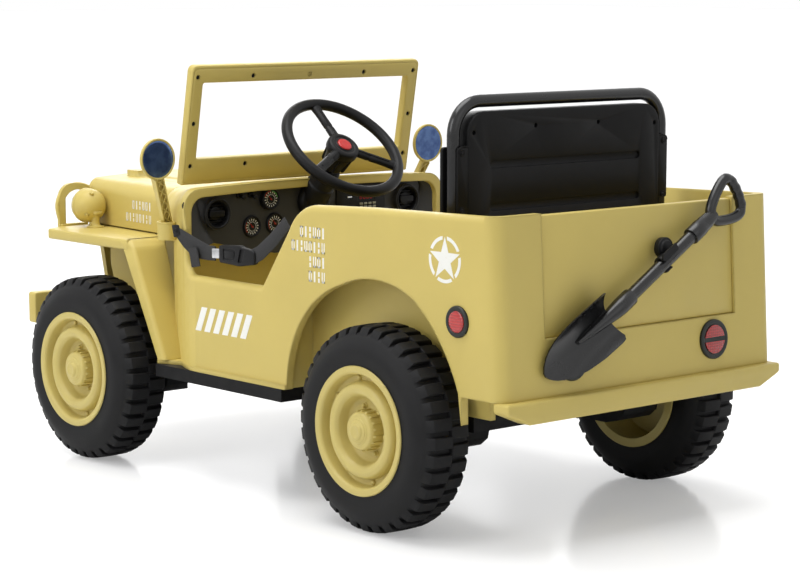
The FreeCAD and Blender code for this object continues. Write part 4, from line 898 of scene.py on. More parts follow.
def joined(name: str, parts: Sequence[bpy.types.Object], finish: Finish, body: str, stands_for: Iterable[str] = (),
        crease: float = 35.0) -> bpy.types.Object:
    """Several loose meshes as one piece.

    Args:
        name: The piece's name.
        parts: Objects without a body; they are removed.
        finish: The finish.
        body: The body.
        stands_for: The CAD nodes that it replaces.
        crease: The turn past which an edge is sharp, in degrees.

    Returns:
        The piece.
    """
    shape = Shape()
    for part in parts:
        shape.bm.from_mesh(part.data)
        bpy.data.objects.remove(part)
    return shape.piece(name, finish, body, stands_for, crease)


def carved(solid: Shape, tool: Shape) -> Shape:
    """A shape with another taken away from it."""
    pair = []
    for i, shape in enumerate((solid, tool)):
        mesh = bpy.data.meshes.new(f"carving_{i}")
        shape.bm.to_mesh(mesh)
        shape.bm.free()
        pair.append(linked(f"carving_{i}", mesh))
    cut = pair[0].modifiers.new("carve", "BOOLEAN")
    cut.operation, cut.solver, cut.object = "DIFFERENCE", "EXACT", pair[1]
    graph = bpy.context.evaluated_depsgraph_get()
    mesh = bpy.data.meshes.new_from_object(pair[0].evaluated_get(graph))
    made = Shape()
    made.bm.from_mesh(mesh)
    for one in pair:
        bpy.data.objects.remove(one)
    bpy.data.meshes.remove(mesh)
    return made.tidy()


def box_outline(u: float, v: float, half_u: float, half_v: float, radius: float,
        steps: int = 5) -> list[tuple[float, float]]:
    """A rectangle round (u, v) with rounded corners."""
    run: list[tuple[float, float]] = []
    for su, sv, first in ((1, 1, 0), (-1, 1, 90), (-1, -1, 180), (1, -1, 270)):
        run += circle(u + su * (half_u - radius), v + sv * (half_v - radius), radius, steps, first, first + 90)
    return run


def slab(u: float, v: float, half_u: float, half_v: float, radius: float, steps: int, low: float, high: float,
        normal: str) -> Shape:
    """A rectangular plate with rounded corners: its middle, half size, corners, ends and normal."""
    return Shape().prism(box_outline(u, v, half_u, half_v, radius, steps), low, high, normal)


def lathe(profile: Profile, ease: float, points: int, steps: int) -> Shape:
    """An open profile turned about the Y axis, with eased corners.

    Args:
        profile: (place along Y, radius) points.
        ease: How far the rounding of a corner reaches, at most.
        points: Points on each rounding, less one.
        steps: Runs round the axis.

    Returns:
        The shape.
    """
    return Shape().turned(eased(profile, ease, points, False), steps)


def together(shapes: Iterable[Shape]) -> Shape:
    """Several shapes as one."""
    whole = Shape()
    for shape in shapes:
        mesh = bpy.data.meshes.new("gathered")
        shape.bm.to_mesh(mesh)
        shape.bm.free()
        whole.bm.from_mesh(mesh)
        bpy.data.meshes.remove(mesh)
    return whole


def screw_head(radius: float = 0.0034, height: float = 0.0016) -> Shape:
    """A pan screw's head with its cross recess, facing -X at the origin."""
    head = lathe([(0.0, 0.0), (0.0, radius), (height, radius * 0.8), (height, 0.0)], 0.0005, 2, 20).tidy()
    for long, wide in ((radius * 0.62, radius * 0.15), (radius * 0.15, radius * 0.62)):
        head = carved(head, slab(0.0, 0.0, long, wide, 0.0002, 1, height * 0.4, height * 1.5, "Y"))
    return head.moved(turn_of(90, "Z"))


@dataclass
class WindscreenFrame:
    """The flat frame that leans back on the cowl: a lip round its edge and sunk screws."""

    base: Point = (0.2204, 0.0, 0.5167)
    lean: float = 10.2
    half: float = 0.251
    top: float = 0.171
    low: float = -0.033
    depth: float = 0.016
    window_half: float = 0.226
    window_low: float = 0.012
    window_top: float = 0.141

    def plane(self) -> Matrix:
        """The frame's own plane: X forward through it, Z up along it."""
        return Matrix.Translation(self.base) @ turn_of(-self.lean, "Y")

    def loop(self, half: float, low: float, top: float, radius: float, low_radius: float) -> list[tuple[float,
            float]]:
        """A rounded rectangle of as many points for every size."""
        run = []
        for side, height, turn, r in ((1, top, 0, radius), (-1, top, 90, radius), (-1, low, 180, low_radius),
                (1, low, 270, low_radius)):
            sign = 1 if height == top else -1
            run += circle(side * (half - r), height - sign * r, r, 5, turn, turn + 90)
        return run

    def skin(self) -> Shape:
        """The frame between its window and its outline, as one lofted ring."""
        inner = self.loop(self.window_half, self.window_low, self.window_top, 0.004, 0.004)
        outer = self.loop(self.half, self.low, self.top, 0.01, 0.002)
        d = self.depth
        section = ((0, 0.0, 0.004), (0, 0.0008, 0.0014), (0, 0.0024, 0.0003), (0, 0.0045, 0.0), (1, -0.0085, 0.0),
                (1, -0.0078, 0.0003), (1, -0.007, 0.001), (1, -0.006, 0.001), (1, -0.0052, 0.0006),
                (1, -0.004, 0.0006), (1, -0.0022, 0.0009), (1, -0.0007, 0.002), (1, 0.0, 0.004),
                (1, 0.0, d - 0.003), (1, -0.0009, d - 0.0009), (1, -0.003, d), (0, 0.003, d),
                (0, 0.0009, d - 0.0009), (0, 0.0, d - 0.003))
        rings = []
        for share, shift, depth in section:
            ring = []
            for (a, b), (c, e) in zip(inner, outer):
                run = Vector((c - a, e - b))
                unit = run.normalized()
                place = Vector((a, b)) + run * share + unit * shift
                ring.append((depth, place.x, place.y))
            rings.append(ring)
        shape = Shape().loft(rings + [rings[0]], caps=False)
        return shape.moved(self.plane())

    def build(self) -> None:
        """Make the frame with its screws."""
        spots = [(0.0, 0.1514), (0.1223, 0.1514), (-0.1223, 0.1514), (0.238, 0.1514), (-0.238, 0.1514),
                (0.238, 0.0725), (-0.238, 0.0725), (0.2369, 0.0), (-0.2369, 0.0), (0.1212, -0.0012),
                (-0.1212, -0.0012)]
        plane = self.plane()
        holes = together([Shape().turned([(-0.002, 0.0), (-0.002, 0.005), (0.0, 0.0046), (0.0008, 0.004),
                (0.007, 0.004), (0.007, 0.0)], 24).moved(plane @ Matrix.Translation((0.0, y, z)) @ turn_of(-90,
                "Z")) for y, z in spots])
        carved(self.skin(), holes).piece("screen_frame", SAND, "car", ("windscreen_frame",), 32.0)
        heads = [tuple(plane @ Vector((0.0034, y, z))) for y, z in spots]
        copies_at(screw_head(0.0039), heads, "screen_screws", BLACK)


@dataclass
class SeatBack:
    """The seat's back panel with two long slots, its side plates, the plate ahead and the tubular hoop."""

    rear: float = -0.432
    front: float = -0.405
    half: float = 0.208
    top: float = 0.635
    low: float = 0.405
    corner: float = 0.034

    def panel(self) -> Shape:
        """The rounded panel with its slots and screw holes."""
        shape = Shape().prism(eased(self.outline(), 0.0015, 1), self.rear, self.front, "X")
        shape.rounded(0.0062, 4, 60.0)
        tools = []
        for z in (0.555, 0.491):
            run = circle(0.157, z, 0.006, 10, -90, 90) + circle(-0.157, z, 0.006, 10, 90, 270)
            tools.append(Shape().prism(run, self.rear - 0.004, self.rear + 0.0045, "X"))
        for y, z in self.holes():
            tools.append(Shape().tube([(self.rear - 0.004, y, z), (self.rear + 0.006, y, z)], 0.0036, 18))
        return carved(shape, together(tools)).rounded(0.0009, 2, 55.0)

    def holes(self) -> tuple[tuple[float, float], ...]:
        """The four upper screw holes."""
        return ((0.196, 0.604), (-0.196, 0.604), (0.068, 0.61), (-0.068, 0.61))

    def outline(self) -> list[tuple[float, float]]:
        """The panel's outline as (y, z) points."""
        r, h = self.corner, self.half
        return (circle(h - r, self.top - r, r, 10, 0, 90) + circle(r - h, self.top - r, r, 10, 90, 180)
                + [(-h, self.low), (h, self.low)])

    def plates(self) -> Shape:
        """The two side plates behind the hoop and the plate ahead of it."""
        parts = []
        for side in (1, -1):
            run = box_outline(side * 0.2155, 0.5335, 0.0125, 0.0495, 0.004, 4)
            parts.append(Shape().prism(run, -0.4312, -0.4273, "X").rounded(0.001, 2, 60.0))
            lip = Shape().tube([(-0.4306, side * y, z) for y, z in ((0.2065, 0.5838), (0.214, 0.5845),
                    (0.221, 0.5835), (0.2262, 0.5805), (0.2276, 0.576))], 0.0011, 8)
            parts.append(lip)
            for z in (0.575, 0.489):
                seat = lathe([(0.0, 0.0), (0.0, 0.0052), (0.0012, 0.0052), (0.0012, 0.0038), (0.0006, 0.0034),
                        (0.0006, 0.0)], 0.0004, 2, 22)
                parts.append(seat.moved(Matrix.Translation((-0.4312, side * 0.219, z)) @ turn_of(90, "Z")))
        parts.append(slab(0.0, 0.494, 0.237, 0.089, 0.006, 4, -0.4068, -0.401, "X").rounded(0.0018, 3, 60.0))
        return together(parts)

    def hoop(self) -> Shape:
        """The tube that rises on both sides and runs over the panel."""
        x, half, top, bend, low = -0.4173, 0.2246, 0.6498, 0.05, 0.405
        path: list[Point] = [(x, -half, low), (x, -half, 0.45), (x, -half, 0.52), (x, -half, 0.57)]
        path += [(x, v, w) for v, w in reversed(circle(bend - half, top - bend, bend, 10, 90, 180))]
        path += [(x, v, w) for v, w in reversed(circle(half - bend, top - bend, bend, 10, 0, 90))]
        path += [(x, half, 0.57), (x, half, 0.52), (x, half, 0.45), (x, half, low)]
        return Shape().tube(path, 0.0097, 26)

    def build(self) -> None:
        """Make the seat back."""
        self.panel().piece("seat_back_panel", SEAT_BLACK, "car", ("seat_back",), 32.0)
        self.plates().piece("seat_back_plates", SEAT_BLACK, crease=40.0)
        self.hoop().piece("seat_back_hoop", TUBE, "car", ("seat_hoop",), 40.0)
        heads = [(self.rear + 0.0052, y, z) for y, z in self.holes()]
        heads += [(-0.4316, side * 0.219, z) for side in (1, -1) for z in (0.575, 0.489)]
        copies_at(screw_head(0.003, 0.0014), heads, "seat_back_screws", SCREW)


@dataclass
class SteeringWheel:
    """A thick rim, three ribbed spokes and a stepped hub with a red horn button."""

    ring: float = 0.1045
    bar: float = 0.0095
    body: str = "steering"

    def plane(self) -> Matrix:
        """The wheel's own frame: Z up the shaft, X forwards and up."""
        return Matrix.Translation((0.1057, 0.0, 0.5437)) @ turn_of(-41.8, "Y")

    def build(self) -> None:
        """Make the wheel and its button."""
        upright = turn_of(90, "X")
        plane = self.plane()
        rim = Shape().tube([(u, v, 0.0) for u, v in circle(0.0, 0.0, self.ring, 96)], self.bar, 24, True)
        parts = [rim]
        spoke = []
        for u, half, high in ((0.02, 0.0092, 0.0066), (0.03, 0.0088, 0.0064), (0.046, 0.0086, 0.0062),
                (0.0475, 0.0078, 0.0054), (0.05, 0.0078, 0.0054), (0.0515, 0.0086, 0.0062), (0.07, 0.0084, 0.006),
                (0.084, 0.0086, 0.0062), (0.096, 0.01, 0.0068), (0.102, 0.0104, 0.007)):
            spoke.append([(u, half * c, high * s - 0.0012) for c, s in circle(0.0, 0.0, 1.0, 20)])
        for turn in (0, 120, 240):
            arm = Shape().loft(spoke)
            rib = Shape().prism(eased([(0.024, 0.004), (0.086, 0.004), (0.086, 0.0062), (0.024, 0.0062)], 0.001, 1),
                    -0.0018, 0.0018, "Y")
            parts.append(together([arm, rib]).moved(turn_of(turn, "Z")))
        hub = eased([(-0.046, 0.0), (-0.046, 0.0175), (-0.043, 0.0185), (-0.022, 0.0215), (-0.012, 0.0245),
                (-0.008, 0.0285), (0.0015, 0.0292), (0.0058, 0.0278), (0.0076, 0.024), (0.0072, 0.02),
                (0.0058, 0.0192), (0.0058, 0.015), (0.0072, 0.0142), (0.0072, 0.0131), (0.0038, 0.0131),
                (0.0038, 0.0)], 0.0016, 2, False)
        parts.append(Shape().turned(hub, 64).moved(upright))
        for turn in range(0, 360, 60):
            fin = Shape().prism(eased([(0.018, -0.044), (0.0232, -0.042), (0.0262, -0.013), (0.018, -0.013)], 0.002,
                    1), -0.0016, 0.0016, "Y")
            parts.append(fin.moved(turn_of(turn + 30, "Z")))
        whole = together(parts).moved(plane)
        whole.piece("wheel_of_steering", BLACK, self.body, ("steering_wheel",), 38.0)
        button = lathe([(0.0038, 0.0), (0.0038, 0.0128), (0.0082, 0.0128), (0.0092, 0.011), (0.0094, 0.006),
                (0.0088, 0.0)], 0.0012, 3, 48)
        button.moved(plane @ upright).piece("horn_push", RED_BUTTON, self.body, ("horn_button",), 38.0)


BACKWARDS = turn_of(90, "Z")


@dataclass
class Dashboard:
    """What stands on the dashboard: vents, dials, toggles, the column's shroud and the media panel."""

    face: float = 0.188

    def at(self, y: float, z: float, depth: float = 0.0) -> Matrix:
        """A place on the panel; a shape's +Y then points out of it towards the driver."""
        return Matrix.Translation((self.face - depth, y, z)) @ BACKWARDS

    def vents(self) -> None:
        """A rounded collar, a bowl with fins and a thick bar knob at either end."""
        collar = eased([(-0.002, 0.0268), (0.0085, 0.0268), (0.0112, 0.025), (0.0112, 0.0228), (0.0085, 0.0212),
                (-0.002, 0.019), (-0.0055, 0.0), (-0.0075, 0.0), (-0.004, 0.0268)], 0.0018, 3, False)
        fin = slab(0.0, 0.0, 0.0185, 0.0008, 0.0006, 2, -0.006, 0.0022, "Y")
        fins = []
        for side in Side:
            y = side.value * 0.2116
            place = self.at(y, 0.438)
            Shape().turned(collar, 64).moved(place).piece(f"vent_collar_{side.hand}", BLACK)
            knob = slab(0.0, 0.0, 0.0158, 0.0056, 0.003, 4, -0.004, 0.008, "Y")
            knob.rounded(0.0012, 3, 60.0)
            hub = lathe([(-0.004, 0.0), (-0.004, 0.0125), (0.002, 0.0122), (0.0032, 0.01), (0.0036, 0.0)], 0.001, 2,
                    40)
            together([knob, hub]).moved(place).piece(f"vent_knob_{side.hand}", BLACK, crease=40.0)
            fins += [(self.face, y, 0.438 + 0.0052 * k) for k in (-2.6, -1.6, 1.6, 2.6)]
        copies_at(fin.moved(BACKWARDS), fins, "vent_fins", BLACK)

    def dial(self, name: str, y: float, z: float, proud: float, coloured: bool) -> None:
        """A round dial: bezel, dark face, a ring of ticks, coloured arcs and a needle.

        Args:
            name: The dial's name.
            y: Its centre.
            z: Its centre's height.
            proud: How far it stands out of the panel.
            coloured: Whether it has a red and a green arc instead of a full ring of ticks.
        """
        place = self.at(y, z)
        bezel = eased([(-0.001, 0.0), (-0.001, 0.0192), (proud - 0.001, 0.0188), (proud + 0.0012, 0.0176),
                (proud + 0.0012, 0.016), (proud - 0.0014, 0.015), (proud - 0.0014, 0.0)], 0.001, 3, False)
        Shape().turned(bezel, 56).moved(place).piece(name + "_bezel", BLACK)
        top = proud - 0.0014
        tick = slab(0.0, 0.0118, 0.0007, 0.0017, 0.0002, 1, top - 0.0002, top + 0.0002, "Y")
        ring_of(tick, 16, name + "_ticks", PAINT, "car", 0.1, place)
        fine = slab(0.0, 0.008, 0.0004, 0.0008, 0.0001, 1, top - 0.0002, top + 0.0002, "Y")
        ring_of(fine, 24, name + "_fine_ticks", PAINT, "car", 0.0, place)
        arcs = ((RED_LENS, 20, 88), (GREEN_PAINT, 100, 168)) if coloured else ((RED_LENS, -40, 30),)
        for finish, start, end in arcs:
            run = circle(0.0, 0.0, 0.0147, 10, start, end) + circle(0.0, 0.0, 0.013, 10, start, end)[::-1]
            band = Shape().prism(run, top - 0.0002, top + 0.0004, "Y").moved(place)
            band.piece(f"{name}_arc_{start % 360}", finish)
        needle = Shape().prism([(-0.0006, -0.003), (0.0006, -0.003), (0.0002, 0.0112), (-0.0002, 0.0112)],
                top + 0.0004, top + 0.0009, "Y").moved(Matrix.Rotation(0.7, 4, "Y"))
        cap = Shape().turned([(top, 0.0), (top, 0.0019), (top + 0.0016, 0.0016), (top + 0.0018, 0.0)], 18)
        together([needle, cap]).moved(place).piece(name + "_needle", RED_LENS)

    def toggles(self) -> None:
        """Two toggle switches on ribbed nuts."""
        nut = lathe([(-0.001, 0.0), (-0.001, 0.0062), (0.0034, 0.006), (0.0042, 0.004), (0.0042, 0.0)], 0.0006, 2,
                24)
        stalk = lathe([(0.003, 0.0), (0.003, 0.0024), (0.012, 0.0034), (0.014, 0.004), (0.0165, 0.0036),
                (0.0172, 0.0)], 0.0008, 2, 20)
        stalk.moved(turn_of(-12, "X"))
        copies_at(together([nut, stalk]).moved(BACKWARDS), [(self.face, 0.1608, 0.466), (self.face, 0.136, 0.465)],
                "toggles", BLACK)

    def media(self) -> None:
        """The panel right of the column: a framed plate with a slot, a red readout and two rows of keys."""
        plate = slab(-0.108, 0.446, 0.056, 0.027, 0.004, 4, self.face - 0.0022, self.face + 0.001,
                "X").rounded(0.0008, 2, 60.0)
        slot = slab(-0.082, 0.4485, 0.007, 0.0032, 0.0008, 2, self.face - 0.006, self.face - 0.0005, "X")
        window = slab(-0.1205, 0.4475, 0.02, 0.0062, 0.001, 2, self.face - 0.006, self.face - 0.0014, "X")
        carved(plate, together([slot, window])).piece("media_plate", BLACK, crease=40.0)
        metal = slab(-0.082, 0.4485, 0.0052, 0.0012, 0.0003, 1, self.face - 0.003, self.face - 0.0004, "X")
        metal.piece("media_socket", CHROME)
        bar = slab(0.0, 0.0, 0.0003, 0.0017, 0.0001, 1, self.face - 0.0018, self.face - 0.0012, "X")
        spots = [(0.0, -0.1085 - 0.0078 * digit + dy, 0.4475 + dz) for digit in range(4) for dy in (-0.002, 0.002)
                for dz in (-0.002, 0.002)]
        copies_at(bar, spots, "readout_bars", RED_GLOW)
        level = slab(0.0, 0.0, 0.0016, 0.0003, 0.0001, 1, self.face - 0.0018, self.face - 0.0012, "X")
        rows = [(0.0, -0.1085 - 0.0078 * d, 0.4475 + dz) for d in range(4) for dz in (-0.004, 0.0, 0.004)]
        copies_at(level, rows, "readout_rows", RED_GLOW)
        key = slab(0.0, 0.0, 0.0034, 0.0018, 0.0006, 2, self.face - 0.0034, self.face - 0.0018, "X").rounded(0.0003,
                2, 60.0)
        keys = [(0.0, -0.1085 - 0.01 * i, 0.4355 - 0.006 * j) for i in range(4) for j in range(2)]
        copies_at(key, keys, "media_keys", KEY_GREY)

    def column(self) -> None:
        """The shroud round the steering column and its rounded foot on the panel."""
        lean = math.radians(41.8)
        down = Vector((math.sin(lean), 0.0, -math.cos(lean)))
        top = Vector((0.1057, 0.0, 0.5437)) + down * 0.0525
        run = down.to_track_quat("Y", "Z").to_matrix().to_4x4()
        shroud = eased([(0.0, 0.0075), (0.0, 0.019), (0.004, 0.0205), (0.034, 0.0225), (0.036, 0.025),
                (0.062, 0.0262), (0.092, 0.0262), (0.092, 0.0075)], 0.0016, 2)
        Shape().turned(shroud, 56).moved(Matrix.Translation(top) @ run).piece("column_shroud", BLACK, crease=40.0)
        foot = eased([(-0.001, 0.02), (-0.001, 0.0335), (0.004, 0.0335), (0.0105, 0.0305), (0.0125, 0.027),
                (0.0125, 0.02)], 0.0018, 3)
        Shape().turned(foot, 56).moved(self.at(0.0, 0.4475)).piece("column_foot", BLACK, crease=40.0)

    def fold(self) -> None:
        """The panel's side folded back over the cowl's lip, with its screw tab."""
        edge = ((0.214, 0.479, 0.22, 0.481), (0.232, 0.4765, 0.248, 0.476), (0.243, 0.47, 0.264, 0.464),
                (0.2475, 0.461, 0.2735, 0.452), (0.2465, 0.448, 0.2765, 0.436), (0.242, 0.433, 0.2755, 0.418),
                (0.235, 0.42, 0.2705, 0.404), (0.226, 0.404, 0.26, 0.393), (0.216, 0.39, 0.24, 0.385))
        for side in Side:
            rings = [[(self.face - 0.0016, y, z), (self.face - 0.006, y + 0.2 * (v - y), z + 0.2 * (w - z)),
                    (self.face - 0.012, v, w), (self.face - 0.009, v, w), (self.face + 0.001, y, z)] for y, z, v,
                    w in ((side.value * a, b, side.value * c, d) for a, b, c, d in edge)]
            Shape().loft(rings).piece(f"dash_fold_{side.hand}", DASH_BLACK, crease=50.0)
        tab = Shape().prism(circle(0.2785, 0.456, 0.008, 16), self.face - 0.013, self.face - 0.009, "X")
        tab.rounded(0.0008, 2, 60.0).piece("dash_tab", BLACK)
        copies_at(screw_head(0.0028, 0.0013), [(self.face - 0.013, 0.2785, 0.456)], "dash_tab_screw", SCREW)

    def build(self) -> None:
        """Make all of it."""
        self.vents()
        self.dial("clock_dial", 0.0977, 0.456, 0.009, True)
        self.dial("speed_dial", 0.134, 0.411, 0.0032, False)
        self.dial("fuel_dial", 0.0847, 0.413, 0.0032, False)
        self.toggles()
        self.media()
        self.column()
        self.fold()


@dataclass
class Mirror:
    """A round mirror on a tapering lattice arm above a lipped socket."""

    side: Side
    x: float = 0.223
    y: float = 0.301
    z: float = 0.5315
    radius: float = 0.0345

    def build(self) -> None:
        """Make the mirror, its glass and its arm."""
        hand = self.side.hand
        head = Matrix.Translation((self.x, self.y, self.z)) @ turn_of(-90, "Z")
        rim = eased([(0.0072, 0.0), (0.0072, self.radius - 0.004), (0.0045, self.radius), (0.0, self.radius),
                (-0.0009, self.radius - 0.0008), (-0.0009, self.radius - 0.003), (0.0008, self.radius - 0.0036),
                (0.0008, 0.0)], 0.0008, 2, False)
        case = Shape().turned(rim, 64).moved(head)
        socket = lathe([(0.0, 0.0), (0.0, 0.017), (0.0275, 0.0166), (0.0275, 0.018), (0.0305, 0.018),
                (0.0305, 0.0142), (0.0285, 0.0134), (0.0285, 0.0)], 0.0007, 2, 48)
        socket.moved(Matrix.Translation((0.25, 0.265, 0.393)) @ turn_of(90, "X"))
        foot, top = Vector((0.25, 0.265, 0.42)), Vector((0.2275, 0.2985, 0.5))
        up = (top - foot).normalized()
        across = Vector((0.0, 1.0, 0.0))
        across = (across - up * across.dot(up)).normalized()
        ahead = across.cross(up)
        parts = [case, socket]
        length = (top - foot).length

        def spot(h: float, w: float) -> Vector:
            """A point of the arm at a height, w across it."""
            return foot + up * h + across * w

        for hand_of, depth in ((1, 0.0095), (-1, 0.006)):
            rings = []
            for h, share in ((0.0, 0.45), (length * 0.5, 0.75), (length, 1.0)):
                w = hand_of * (0.006 + 0.0014 * share)
                rings.append([spot(h, w + a * 0.0012) + ahead * d for a, d in ((-1, -0.0045), (1, -0.0045),
                        (1, depth * share), (-1, depth * share))])
            parts.append(Shape().loft(rings))
        parts.append(self.web(spot, length, ahead))
        knees = 5
        for i in range(knees):
            low, high = length * i / knees, length * (i + 1) / knees
            for hand_of in (1, -1):
                parts.append(self.bar([spot(low, hand_of * 0.0066) - ahead * 0.0032, spot(high, -hand_of * 0.0062)
                        - ahead * 0.0032], ahead, 0.0009, 0.0012))
        whole = together(parts)
        glass = lathe([(0.0009, 0.0), (0.0009, self.radius - 0.0037), (-0.0001, self.radius - 0.0037),
                (-0.0004, self.radius - 0.008), (-0.0008, 0.0)], 0.0006, 2, 64)
        glass.moved(head)
        glass.mirrored(self.side)
        whole.mirrored(self.side).piece(f"mirror_case_{hand}", SAND, "car", (f"mirror_{hand}",), 40.0)
        glass.piece(f"mirror_glass_{hand}", GLASS, crease=60.0)

    def bar(self, run: Sequence[Vector], ahead: Vector, half: float, deep: float) -> Shape:
        """A flat bar along a run of points, deep along the arm's front."""
        rings = []
        for i, point in enumerate(run):
            back, on = run[max(i - 1, 0)], run[min(i + 1, len(run) - 1)]
            side = (on - back).normalized().cross(ahead).normalized()
            rings.append([point + side * (half * a) + ahead * (deep * b) for a, b in ((1, 0.8), (0.8, 1), (-0.8, 1),
                    (-1, 0.8), (-1, -0.8), (-0.8, -1), (0.8, -1), (1, -0.8))])
        return Shape().loft(rings)

    def web(self, spot: "Callable[[float, float], Vector]", length: float, ahead: Vector) -> Shape:
        """The thin web behind the lattice."""
        rings = [[spot(h, w) + ahead * (d + far) for w, d in ((-0.0062, -0.0006), (0.0062, -0.0006),
                (0.0062, 0.0006), (-0.0062, 0.0006))] for h, far in ((0.0, 0.0026), (length, 0.0052))]
        return Shape().loft(rings)


@dataclass
class Headlamp:
    """A ball-shaped lamp on a post, its clear lens in front, and the strap guard that arches over it."""

    side: Side
    x: float = 0.5458
    y: float = 0.2223
    z: float = 0.4265
    radius: float = 0.03

    def build(self) -> None:
        """Make the lamp and its guard."""
        hand = self.side.hand
        centre = (self.x, self.y, self.z)
        forward = Matrix.Translation(centre) @ turn_of(-90, "Z")
        r = self.radius
        shell = [(-r * math.cos(a), r * math.sin(a)) for a in (math.pi * k / 30 for k in range(0, 16))]
        shell += [(0.003, 0.03), (0.0036, 0.0308), (0.0086, 0.0308), (0.0092, 0.03), (0.0092, 0.028),
                (0.007, 0.0272), (0.001, 0.018), (-0.002, 0.0)]
        ball = Shape().turned(shell, 56).moved(forward)
        holes = together([Shape().tube([centre, Vector(centre) + Vector(way) * 0.034], 0.0034, 16)
                for way in ((-0.62, 0.24, 0.74), (-0.62, 0.6, -0.5))])
        ball = carved(ball, holes)
        post = lathe([(0.0, 0.0), (0.0, 0.016), (0.002, 0.016), (0.0028, 0.01), (0.005, 0.0078), (0.008, 0.007),
                (0.023, 0.0068), (0.0262, 0.0068), (0.0262, 0.0)], 0.0008, 2, 40)
        post.moved(Matrix.Translation((0.5265, self.y, 0.389)) @ turn_of(90, "X"))
        shelf = slab(0.5265, self.y, 0.012, 0.0088, 0.004, 4, 0.412, 0.4175, "Z")
        shelf.rounded(0.0008, 2, 60.0)
        lens = lathe([(0.0072, 0.0), (0.0072, 0.0278), (0.018, 0.0268), (0.0245, 0.0215), (0.0275, 0.012),
                (0.0282, 0.0)], 0.002, 3, 48).moved(forward)
        bowl = lathe([(-0.001, 0.0), (0.0015, 0.017), (0.0068, 0.0268), (0.008, 0.0268), (0.003, 0.017),
                (0.0008, 0.0)], 0.001, 2, 40).moved(forward)
        bulb = lathe([(0.0004, 0.0), (0.0004, 0.0045), (0.0055, 0.0045), (0.0066, 0.003), (0.007, 0.0)], 0.001, 2,
                24).moved(forward)
        guard = self.guard()
        whole = together([ball, post, shelf])
        parts = [(whole, f"headlamp_case_{hand}", SAND, (f"headlamp_{hand}",)), (lens, f"headlamp_lens_{hand}",
                CLEAR_LENS, ()), (bowl, f"headlamp_bowl_{hand}", CHROME, ()), (bulb, f"headlamp_bulb_{hand}", BULB,
                ()), (guard, f"headlamp_guard_{hand}", SAND, ())]
        for shape, name, finish, nodes in parts:
            shape.mirrored(self.side).piece(name, finish, "car", nodes, 40.0)

    def guard(self) -> Shape:
        """The rounded strap from the fender up and over to the bonnet's corner, and its foot strip."""
        x = 0.587
        run = [(0.2525, 0.3895), (0.2585, 0.404), (0.2622, 0.419), (0.2618, 0.431), (0.257, 0.443),
                (0.2475, 0.4535), (0.235, 0.4598), (0.221, 0.4622), (0.208, 0.4602), (0.196, 0.456)]
        fine: list[tuple[float, float]] = []
        for i in range(len(run) - 1):
            a, b, c, d = (Vector(run[max(0, min(len(run) - 1, i + k))]) for k in (-1, 0, 1, 2))
            for t in (0.0, 0.25, 0.5, 0.75):
                fine.append(tuple(0.5 * (2 * b + (c - a) * t + (2 * a - 5 * b + 4 * c - d) * t * t
                        + (3 * b - a - 3 * c + d) * t ** 3)))
        fine.append(run[-1])
        rings = []
        for i, (y, z) in enumerate(fine):
            back, on = Vector(fine[max(i - 1, 0)]), Vector(fine[min(i + 1, len(fine) - 1)])
            way = (on - back).normalized()
            out = Vector((way.y, -way.x))
            half = 0.0042 - 0.001 * min(1.0, i / (len(fine) * 0.8))
            rings.append([(x + 0.0042 * a, y + out.x * half * b, z + out.y * half * b) for a,
                    b in circle(0.0, 0.0, 1.0, 12, 0, 360)])
        strap = Shape().loft(rings)
        foot = slab(x - 0.001, 0.23, 0.0068, 0.029, 0.003, 4, 0.388, 0.3925, "Z")
        return together([strap, foot.rounded(0.001, 2, 60.0)])


@dataclass
class RearLamps:
    """The two round tail lamps with halved lenses, and the round side markers."""

    rear: float = -0.6004
    slope: float = 3.53

    def tail(self, hand: str, y: float) -> None:
        """A dark disc with an upper and a lower half lens.

        Args:
            hand: left or right.
            y: The lamp's centre.
        """
        place = (Matrix.Translation((self.rear, y, 0.279)) @ turn_of(self.slope, "Y") @ BACKWARDS)
        disc = eased([(-0.001, 0.0), (-0.001, 0.0312), (0.0034, 0.0308), (0.0048, 0.0292), (0.0048, 0.025),
                (0.0036, 0.0238), (0.0036, 0.0)], 0.0008, 3, False)
        Shape().turned(disc, 64).moved(place).piece(f"tail_disc_{hand}", LAMP_BLACK, "car", (f"tail_lamp_{hand}",),
                40.0)
        for name, turn in (("upper", 0), ("lower", 180)):
            run = circle(0.0, 0.0, 0.0222, 24, 9, 171)
            lens = Shape().prism(eased(run, 0.0004, 1), 0.003, 0.005, "Y").rounded(0.0009, 3, 60.0)
            lens.moved(place @ turn_of(turn, "Y")).piece(f"tail_lens_{name}_{hand}", RED_LENS, crease=40.0)

    def marker(self, side: Side) -> None:
        """A round side marker."""
        shift = Matrix.Translation((-0.51, 0.299, 0.339))
        ring = lathe([(-0.001, 0.0), (-0.001, 0.0238), (0.0026, 0.0234), (0.004, 0.0218), (0.004, 0.018),
                (0.003, 0.017), (0.003, 0.0)], 0.0008, 3, 56)
        lens = lathe([(0.002, 0.0), (0.002, 0.0164), (0.0042, 0.0158), (0.0052, 0.012), (0.0055, 0.0)], 0.0008, 3,
                48)
        for shape, name, finish, nodes in ((ring, "marker_ring", LAMP_BLACK, (f"side_marker_{side.hand}",)),
                (lens, "marker_lens", RED_LENS, ())):
            shape.moved(shift).mirrored(side).piece(f"{name}_{side.hand}", finish, "car", nodes, 40.0)

    def build(self) -> None:
        """Make the four lamps."""
        for side in Side:
            self.tail(side.hand, side.value * 0.155)
            self.marker(side)


